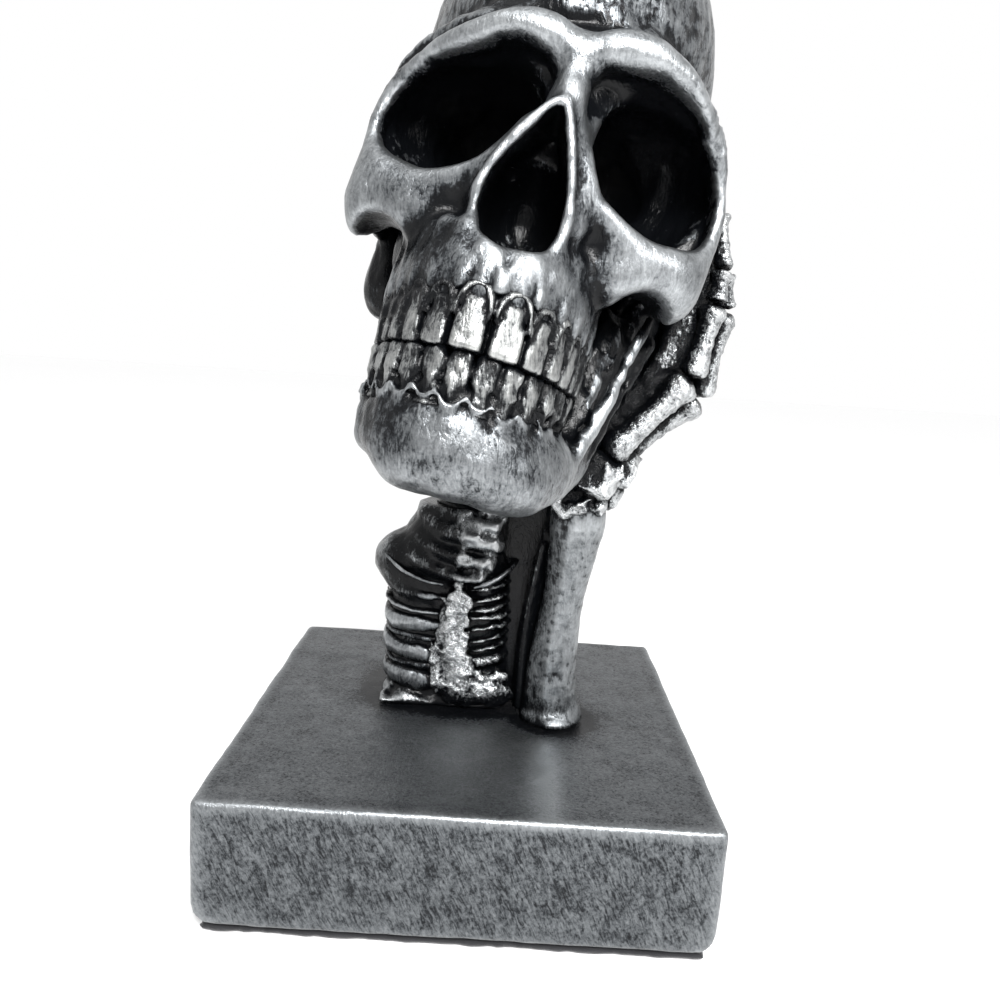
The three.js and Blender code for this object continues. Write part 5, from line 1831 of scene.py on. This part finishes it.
    def neck(self, top: np.ndarray) -> None:
        """Models the neck bones: waisted discs with a spine and two wings.

        Args:
            top: where the neck meets the skull.
        """
        foot = np.array(self.neck_foot)
        axis = (top - foot) / np.linalg.norm(top - foot)
        pitch = float(np.linalg.norm(top - foot)) / self.neck_count
        across = np.cross([0.0, 1.0, 0.0], axis)
        across /= np.linalg.norm(across)
        turn = np.column_stack([across, np.cross(axis, across), axis])
        for level in range(self.neck_count):
            half = pitch / 2 - 0.1
            clay = Clay((-9, -9, -half - 0.4), (9, 13, half + 0.4), 0.45)
            for z in (-half * 0.55, half * 0.55):
                clay.add(Egg((0, 0, z), (7.0, 7.0, half * 0.5)), 0.6)
            clay.add(Strand([(0, 0, -half - 1), (0, 0, half + 1)], [5.9, 5.9]), 0.8)
            clay.add(Strand([(0, 4, 0), (0, 9.4, -pitch * 0.2)], [1.6, 1.1]), 1)
            clay.add(Strand([(4.2, 2.1, 0), (7.6, 3.2, 0)], [1.5, 1.2]), 1, twin=True)
            seed = 50 + level
            clay.roughen(lambda p, s=seed: 0.2 * Grain(s).at(p, 2.0) + 0.1 * Grain(s + 10).at(p, 0.9))
            clay.trim((-8.5, -8, -half), (8.5, 10.4, half))
            pose = Pose(turn, foot + axis * (level + 0.5) * pitch)
            self.cast(f"neck_bone_{level + 1}_casting", [f"neck_bone_{level + 1}"], clay, pose=pose,
                      shade=0.1)


@dataclass
class Arm(Maker):
    """The forearm, the hand and the dark webs beside them."""

    finger_names: tuple[str, ...] = ("index", "middle", "ring", "little")
    bone_names: tuple[str, ...] = ("palm", "proximal", "middle", "distal")
    sizes: tuple[float, ...] = (1.0, 0.98, 0.94, 0.84)
    joints: tuple[tuple[Point, ...], ...] = (
        ((16.4, -14.5, -31.5), (29.4, -14.6, -17.5), (32.0, -14.6, -5.2), (32.7, -14, 0.2), (31.4, -13, 9.2)),
        ((19.8, -8, -31.2), (32.4, -8.6, -21.0), (35.0, -8.6, -6.0), (34.3, -8.2, 0.2), (32.2, -7.2, 8.3)),
        ((19.8, -3, -31.0), (32.2, -2, -21.5), (35.0, -1.5, -7.5), (34.3, -1, -1.2), (32.5, 0, 6.2)),
        ((18.8, 1, -31.5), (30.4, 4, -22.5), (32.8, 4.5, -11.0), (32.5, 5, -5.5), (31.2, 5.6, 0.0)),
    )

    def beside(self, point: Point) -> Point:
        """Gives a place that is measured upright from the point between the ear holes."""
        return tuple(a + b for a, b in zip(EARS, point))

    def build(self, tree: RodTree) -> None:
        """Models the arm.

        Args:
            tree: the geometry nodes for rods.
        """
        self.forearm()
        self.elbow()
        self.wrist()
        for finger in range(len(self.finger_names)):
            for joint in range(len(self.bone_names)):
                self.finger_bone(tree, finger, joint)
        self.webs()

    def forearm(self) -> None:
        """Models the thick bone of the forearm, which ends in a flare and a ring on the plinth."""
        line = [(15.0, -3.0, 21.8), (14.9, -3.0, 23.4), (14.6, -3.1, 26.5), (14.5, -3.2, 33.0),
                (15.3, -3.8, 42.0), (16.0, -4.6, 49.0), (16.6, -5.3, 55.0), (17.0, -6.0, 60.5),
                (17.2, -6.4, 64.0)]
        radii = [6.0, 5.3, 4.8, 4.35, 3.8, 3.8, 4.3, 4.9, 4.6]
        clay = Clay((7, -16, DECK - 1), (27, 6, 69), 0.42)
        clay.add(Strand(line, radii))
        clay.add(Strand([(10.4, -4.8, 22.7), (12.4, -7.4, 22.6), (15.6, -8.7, 22.5), (19.0, -7.2, 22.6)],
                        [0.45, 0.6, 0.6, 0.45]), 0.4)
        clay.draw(Stroke(((15.0, 58.0), (14.6, 48.0), (13.8, 40.0), (12.9, 28.0)), 0.9, 0.35, 0.0))
        clay.roughen(lambda p: 0.18 * Grain(61).at(p, 2.2, (1, 1, 3)) + 0.12 * Grain(62).at(p, 0.9))
        clay.trim((8, -15, DECK), (27, 6, 63.6))
        self.cast("forearm_casting", ["forearm_bone"], clay, Finish.SMOOTH, shade=self.forearm_shade)

    @staticmethod
    def forearm_shade(points: np.ndarray) -> np.ndarray:
        """Gives the silver that parts of the forearm get more than their shape says, and painted shade on its
        left side.

        Args:
            points: where, in the part's frame.

        Returns:
            How much more silver each point gets, painted shade included.
        """
        x, _, z = points.T
        # Painted shade: the forearm's left side, towards the chest, is darker in a soft gradient.
        side = 1 - eased(-0.8, 0.8, x - 13.6 - (z - 30.0) * 0.06)
        specks = eased(0.25, 0.6, Grain(45).at(points, 0.9))
        return (-0.25 * side + 0.4 * eased(57.5, 60.0, z) * (1 - side) - 0.05 - 0.35 * specks
                + 0.75 * (1 - eased(23.0, 25.5, z)))

    def elbow(self) -> None:
        """Models the dark bones behind the forearm."""
        x, y, z = self.beside((12.8, -10.8, -44.5))
        rise = z - DECK
        clay = Clay((4, -12, DECK), (20, 10, z + 2), 0.45)
        clay.add(Strand([(10.4, 1.6, DECK - 2), (10.4, 1.6, DECK + rise * 0.4),
                         (x - 4.1, y + 5.2, DECK + rise * 0.9)], [2.8, 2.4, 2.1]))
        clay.add(Strand([(9.2, -0.6, DECK), (9.5, -0.6, DECK + rise * 0.45),
                         (x - 5.6, y + 3.4, z - 5)], [0.9, 0.8, 0.7]), 0.5)
        clay.roughen(lambda p: 0.12 * Grain(64).at(p, 1.8, (1, 1, 4)))
        clay.trim((4, -12, DECK), (20, 10, z + 1))
        # Painted shade: the bone is darkened beyond its dark finish, as it lies in the shadow behind the
        # forearm.
        self.cast("ulna_casting", ["ulna"], clay, Finish.DARK, "dark", shade=-0.25)
        clay = Clay((2, -2, DECK), (18, 14, 54), 0.45)
        clay.add(Strand([(8.2, 7.3, 47.2), (11.0, 7.8, 36.0), (13.4, 8.4, 25.7)], [2.6, 2.4, 2.9]))
        clay.roughen(lambda p: 0.15 * Grain(63).at(p, 2.0, (1, 1, 3)))
        clay.trim((2, -2, DECK), (17, 14, 52))
        # Painted shade here too: the extra darkening stands for the forearm's shadow.
        self.cast("upper_arm_casting", ["upper_arm"], clay, Finish.DARK, "dark", shade=-0.1)

    def wrist(self) -> None:
        """Models the four wrist bones, each with two knobs, and the first with a dark hollow."""
        bones = (
            ((16.6, -7.8, 65.2), (4.8, 3.6, 3.4), -12.0), ((20.0, -4.6, 66.8), (4.0, 4.0, 4.1), 10.0),
            ((18.8, -9.4, 69.6), (4.4, 3.4, 3.4), 25.0), ((22.4, -4.4, 70.6), (3.9, 4.6, 4.0), 30.0),
        )
        for i, (centre, half, tilt) in enumerate(bones):
            clay = Clay(*(tuple(c + reach for c in centre) for reach in (-6.6, 6.6)), 0.36)
            clay.add(Slab(centre, half, min(half) * 0.6, (0, tilt, 0)))
            clay.add(Egg((centre[0] - 2.0, centre[1] - 1.6, centre[2] + 1.2), (1.9, 1.7, 1.3)), 0.8)
            clay.add(Egg((centre[0] + 2.2, centre[1] - 1.2, centre[2] - 0.8), (1.6, 1.7, 1.5)), 0.8)
            if i == 0:
                hollow = ((14.2, -11.4, 64.4), (16.4, -11.8, 66.0), (18.8, -11.4, 65.6))
                clay.cut(Strand(hollow, [1.0, 1.3, 0.9], stretch=(1, 1.6, 0.8)), 0.5)
            clay.roughen(lambda p, s=70 + i: 0.65 * Grain(s).at(p, 1.9) + 0.45 * Grain(s + 5).at(p, 0.9))
            self.cast(f"wrist_bone_{i + 1}_casting", [f"wrist_bone_{i + 1}"], clay, Finish.ROUGH, shade=0.22)

    def finger_bone(self, tree: RodTree, finger: int, joint: int) -> None:
        """Rolls one bone of a finger, with a flared head at each end.

        Args:
            tree: the geometry nodes for rods.
            finger: its number from the thumb's side.
            joint: its number from the wrist.
        """
        size = (2.5 if joint == 0 else 2.15 * (1.06 - 0.14 * joint)) * self.sizes[finger]
        start, end = (np.array(self.beside(p)) for p in self.joints[finger][joint:joint + 2])
        way = (end - start) / np.linalg.norm(end - start)
        start, end = start - way * size * 0.1, end - way * size * 0.35
        # How thick the bone is at shares of its length.
        flare = ((0, 0.45), (0.025, 0.85), (0.06, 1.05), (0.12, 1.12), (0.22, 1.02), (0.36, 0.88),
                 (0.5, 0.84), (0.64, 0.88), (0.78, 1.0), (0.88, 1.16), (0.94, 1.14), (0.975, 0.9), (1, 0.45))
        thick = [size * share for _, share in flare]
        line = [start + (end - start) * share for share, _ in flare]
        node = f"{self.finger_names[finger]}_{self.bone_names[joint]}_bone"
        self.rod(tree, node, [Path3D(line, thick)], Finish.ROUGH, "bone", -0.02, Points_Along=90,
                 Points_Round=22, Half_Depth=1.0, Half_Height=1.0, Lump_Size=1.4, Lump_Height=0.9,
                 Seed=5.0 * finger + joint)

    def webs(self) -> None:
        """Models the dark resin between the hand and the skull, and between the arm and the chest."""
        clay = Clay((14, -16, 70), (44, 12, 118), 0.5)
        # Behind the two front fingers, then behind the palm.
        for finger in range(2):
            line = [self.beside(p) for p in self.joints[finger]]
            inner = [(x - 4.4 + 0.3 * i, y + 3.8, z + 1.0) for i, (x, y, z) in enumerate(line)]
            clay.add(Strand(inner, [3.4, 3.6, 3.2, 3.0, 1.6]), 3)
        palm = ((19, -6, -27), (25.5, -5, -17), (28.8, -4, -5), (29.5, -3, 4))
        clay.add(Strand([self.beside(p) for p in palm], [3.6, 4.4, 4.4, 2.4], stretch=(1, 1.4, 1)), 3)
        # Thin cords on its front.
        for line in (((17.5, -12.4, -27), (22, -13.2, -19), (25.6, -13.0, -10), (27.6, -12.4, -2)),
                     ((19.5, -12.0, -28), (25.0, -12.6, -20.6), (28.4, -12.4, -11)),
                     ((17.0, -11.4, -22), (20.6, -12.6, -14), (23.4, -12.4, -6))):
            clay.add(Strand([self.beside(p) for p in line], [0.6] + [0.95] * (len(line) - 2) + [0.5]), 0.8)
        clay.roughen(lambda p: 0.55 * Grain(91).at(p, 2.0, (1, 1, 2)) + 0.4 * Grain(92).at(p, 0.9))
        self.cast("palm_web_casting", ["palm_web"], clay, Finish.ROUGH, "dark",
                  shade=lambda p: -0.04 + 0.6 * eased(0.1, 0.5, Grain(94).at(p, 1.4, (1, 1, 3.5))))
        clay = Clay((1, 1, DECK), (16, 9, 70), 0.45)
        clay.add(Slab((9.4, 5.0, 44.8), (4.2, 1.8, 22.6), 1.0))
        clay.add(Slab((7.6, 5.0, 57.0), (5.4, 1.8, 7.4), 1.2), 1.0)
        clay.roughen(lambda p: 0.25 * Grain(93).at(p, 2.6, (1, 1, 4)))
        clay.trim((1.8, 2.6, DECK), (16, 8, 67.2))
        self.cast("arm_web_casting", ["arm_web"], clay, Finish.DARK, "dark", shade=-0.3)


@dataclass
class Foot(Maker):
    """The square plinth and the felt pad under it."""

    cell: float = 0.5
    edge: float = 1.0
    side_edge: float = 1.8
    foot_edge: float = 5.0
    pad_cell: float = 0.6
    pad_edge: float = 0.6

    def build(self) -> None:
        """Models the plinth and the pad."""
        low, high = (np.array(corner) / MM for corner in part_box("plinth"))
        half, middle = (high - low) / 2, (high + low) / 2
        clay = Clay(tuple(low - 1.5), tuple(high + 1.5), self.cell)
        clay.add(Slab(tuple(middle), tuple(half - 0.05), self.edge))
        rise = self.foot_edge * 2
        # Both blocks stand up past the top, so that they round only the foot and the sides.
        higher = (middle[0], middle[1], middle[2] + rise)
        clay.keep(Slab(higher, (half[0], half[1] + rise, half[2] + rise), self.foot_edge))
        clay.keep(Slab(higher, (half[0], half[1], half[2] + rise), self.side_edge))
        clay.roughen(lambda p: 0.12 * Grain(95).at(p, 9.0) + 0.07 * Grain(96).at(p, 2.4) - 0.14)
        clay.trim(tuple(low), tuple(high))
        self.cast("plinth_casting", ["plinth"], clay, Finish.PLINTH, "plinth", shade=self.plinth_shade)
        low, high = (np.array(corner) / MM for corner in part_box("felt_pad"))
        half, middle = (high - low) / 2, (high + low) / 2
        clay = Clay(tuple(low - 1), tuple(high + 1), self.pad_cell)
        clay.add(Slab(tuple(middle), tuple(half), self.pad_edge))
        clay.roughen(lambda p: 0.12 * Grain(97).at(p, 1.2) - 0.12)
        clay.trim(tuple(low), tuple(high))
        self.cast("felt_pad_piece", ["felt_pad"], clay, Finish.FELT, "felt")

    @staticmethod
    def plinth_shade(points: np.ndarray) -> np.ndarray:
        """Gives the silver that parts of the plinth get more than their shape says, and painted reflections
        on its top.

        Args:
            points: where, in the part's frame.

        Returns:
            How much more silver each point gets, painted reflections included.
        """
        x, y, z = points.T
        top = eased(20.8, 22.0, z)
        half, foot = 40.0, 1.5
        from_edge = np.minimum(half - np.abs(x), half - np.abs(y))
        corner = np.minimum(z - foot, np.maximum(half - np.abs(x), half - np.abs(y)))
        rim = eased(21.2, 21.9, z) * (1 - eased(0.9, 1.8, from_edge))
        # Painted reflections on the glossy top: a broad sheen in front of the chest, and a streak where the
        # forearm is mirrored.
        painted_sheen = np.exp(-((x - 2.0) ** 2 / 160.0 + (y + 20.0) ** 2 / 260.0))
        forearm_reflection = np.exp(-((x - 13.0) ** 2 / 7.0)) * (1 - eased(-16.0, -9.0, y))
        face = 1 - top
        return (0.04 * top * (1 - rim) - 0.2 * top * (1 - eased(2.0, 5.0, from_edge)) * (1 - rim)
                + (0.5 * painted_sheen + 0.9 * forearm_reflection) * top
                - 0.2 * face * (1 - eased(0.5, 4.5, corner)) - 0.18 * face * eased(17.0, 20.8, z))


@dataclass(frozen=True)
class Studio:
    """The camera, the lamps, the floor and the sky of a plain product photograph."""

    yaw: float = 0.1145
    pitch: float = 10.6495
    roll: float = 3.561
    camera_place: Point = (2.85, -156.607, 91.622)
    focal_pixels: float = 875.6
    image_pixels: float = 1000.0
    sensor: float = 36.0
    aim: Point = (0, 0, 90)
    floor_half: float = 1.5

    def build(self) -> None:
        """Sets up the studio."""
        self.camera()
        self.floor()
        self.sky()
        self.lamp("key", (60, -290, 280), 110, 2.3)
        self.lamp("fill", (240, -240, 170), 120, 0.35)
        self.sun(0.7, 25.0)
        bpy.context.scene.view_settings.view_transform = "Standard"

    def camera(self) -> None:
        """Puts the camera at the photograph's place."""
        yaw, pitch, roll = (math.radians(a) for a in (self.yaw, self.pitch, self.roll))
        ahead = np.array([math.sin(yaw) * math.cos(pitch), math.cos(yaw) * math.cos(pitch), -math.sin(pitch)])
        level = np.array([math.cos(yaw), -math.sin(yaw), 0.0])
        upright = np.cross(level, ahead)
        right = level * math.cos(roll) + upright * math.sin(roll)
        up = upright * math.cos(roll) - level * math.sin(roll)
        data = bpy.data.cameras.new("camera")
        data.sensor_width = self.sensor
        data.lens = self.focal_pixels / self.image_pixels * self.sensor
        data.clip_start = 0.01
        made = put("camera", data)
        rows = [[float(v[i]) for v in (right, up, -ahead)] + [self.camera_place[i] * MM] for i in range(3)]
        made.matrix_world = Matrix((*rows, (0, 0, 0, 1)))
        bpy.context.scene.camera = made

    def floor(self) -> None:
        """Lays a plain pale floor, which keeps the figurine's shadow."""
        half = self.floor_half
        data = bpy.data.meshes.new("floor")
        data.from_pydata([(-half, -half, 0), (half, -half, 0), (half, half, 0), (-half, half, 0)], [],
                         [(0, 1, 2, 3)])
        made = put("floor", data)
        paint = bpy.data.materials.new("white_floor")
        paint.use_nodes = True
        shader = paint.node_tree.nodes["Principled BSDF"]
        shader.inputs["Base Color"].default_value = srgb("#f2f2f2")
        shader.inputs["Roughness"].default_value = 0.9
        data.materials.append(paint)

    def sky(self) -> None:
        """Lights the scene softly, and shows white to the camera, to gloss and through glass."""
        world = bpy.data.worlds.new("studio")
        bpy.context.scene.world = world
        world.use_nodes = True
        tree = world.node_tree
        tree.nodes.clear()
        path = add_node(tree, "ShaderNodeLightPath")
        seen = add_node(tree, "ShaderNodeMath", {
            0: path.outputs["Is Camera Ray"], 1: path.outputs["Is Transmission Ray"],
        }, operation="MAXIMUM").outputs[0]
        seen = add_node(tree, "ShaderNodeMath", {
            0: path.outputs["Is Glossy Ray"], 1: seen,
        }, operation="MAXIMUM").outputs[0]
        strength = add_node(tree, "ShaderNodeMapRange", {
            "Value": seen, "To Min": 0.9, "To Max": 1.0,
        }).outputs["Result"]
        light = add_node(tree, "ShaderNodeBackground", {"Color": (1, 1, 1, 1), "Strength": strength})
        add_node(tree, "ShaderNodeOutputWorld", {"Surface": light.outputs["Background"]})

    @staticmethod
    def sun(strength: float, spread: float) -> None:
        """Lights the whole floor evenly from above, with soft shadows.

        Args:
            strength: its strength.
            spread: how wide it is in the sky, in degrees.
        """
        data = bpy.data.lights.new("even_light", "SUN")
        data.energy = strength
        data.angle = math.radians(spread)
        made = put("even_light", data)
        made.rotation_euler = (math.radians(22), math.radians(-16), 0)

    def lamp(self, name: str, place: Point, size: float, power: float) -> None:
        """Hangs a soft lamp that shines at the figurine.

        Args:
            name: its name.
            place: where, in millimetres.
            size: its width, in millimetres.
            power: in watts.
        """
        data = bpy.data.lights.new(name, "AREA")
        data.energy = power
        data.size = size * MM
        made = put(name, data)
        made.location = [v * MM for v in place]
        aim = Vector(self.aim) * MM - made.location
        made.rotation_euler = aim.to_track_quat("-Z", "Y").to_euler()


def main() -> None:
    """Builds the studio and the figurine."""
    logging.basicConfig(level=logging.INFO, format="%(message)s")
    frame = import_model()
    Studio().build()
    head, chest, arm, foot = Head(), Chest(), Arm(), Foot()
    head.build()
    tree = RodTree()
    chest.build(tree, head.pose.apply(np.array([0.5, 7.0, -14.0])))
    arm.build(tree)
    foot.build()
    castings = [casting for maker in (head, chest, arm, foot) for casting in maker.castings]
    around = Surroundings(castings)
    palette = Palette()
    for casting in castings:
        casting.place(palette, around)
    for name in ("neck_pin", "forearm_pin"):
        pin = frame["nodes"][name]
        pin.data.materials.clear()
        pin.data.materials.append(palette.get(Finish.STEEL))


if __name__ == "__main__":
    main()
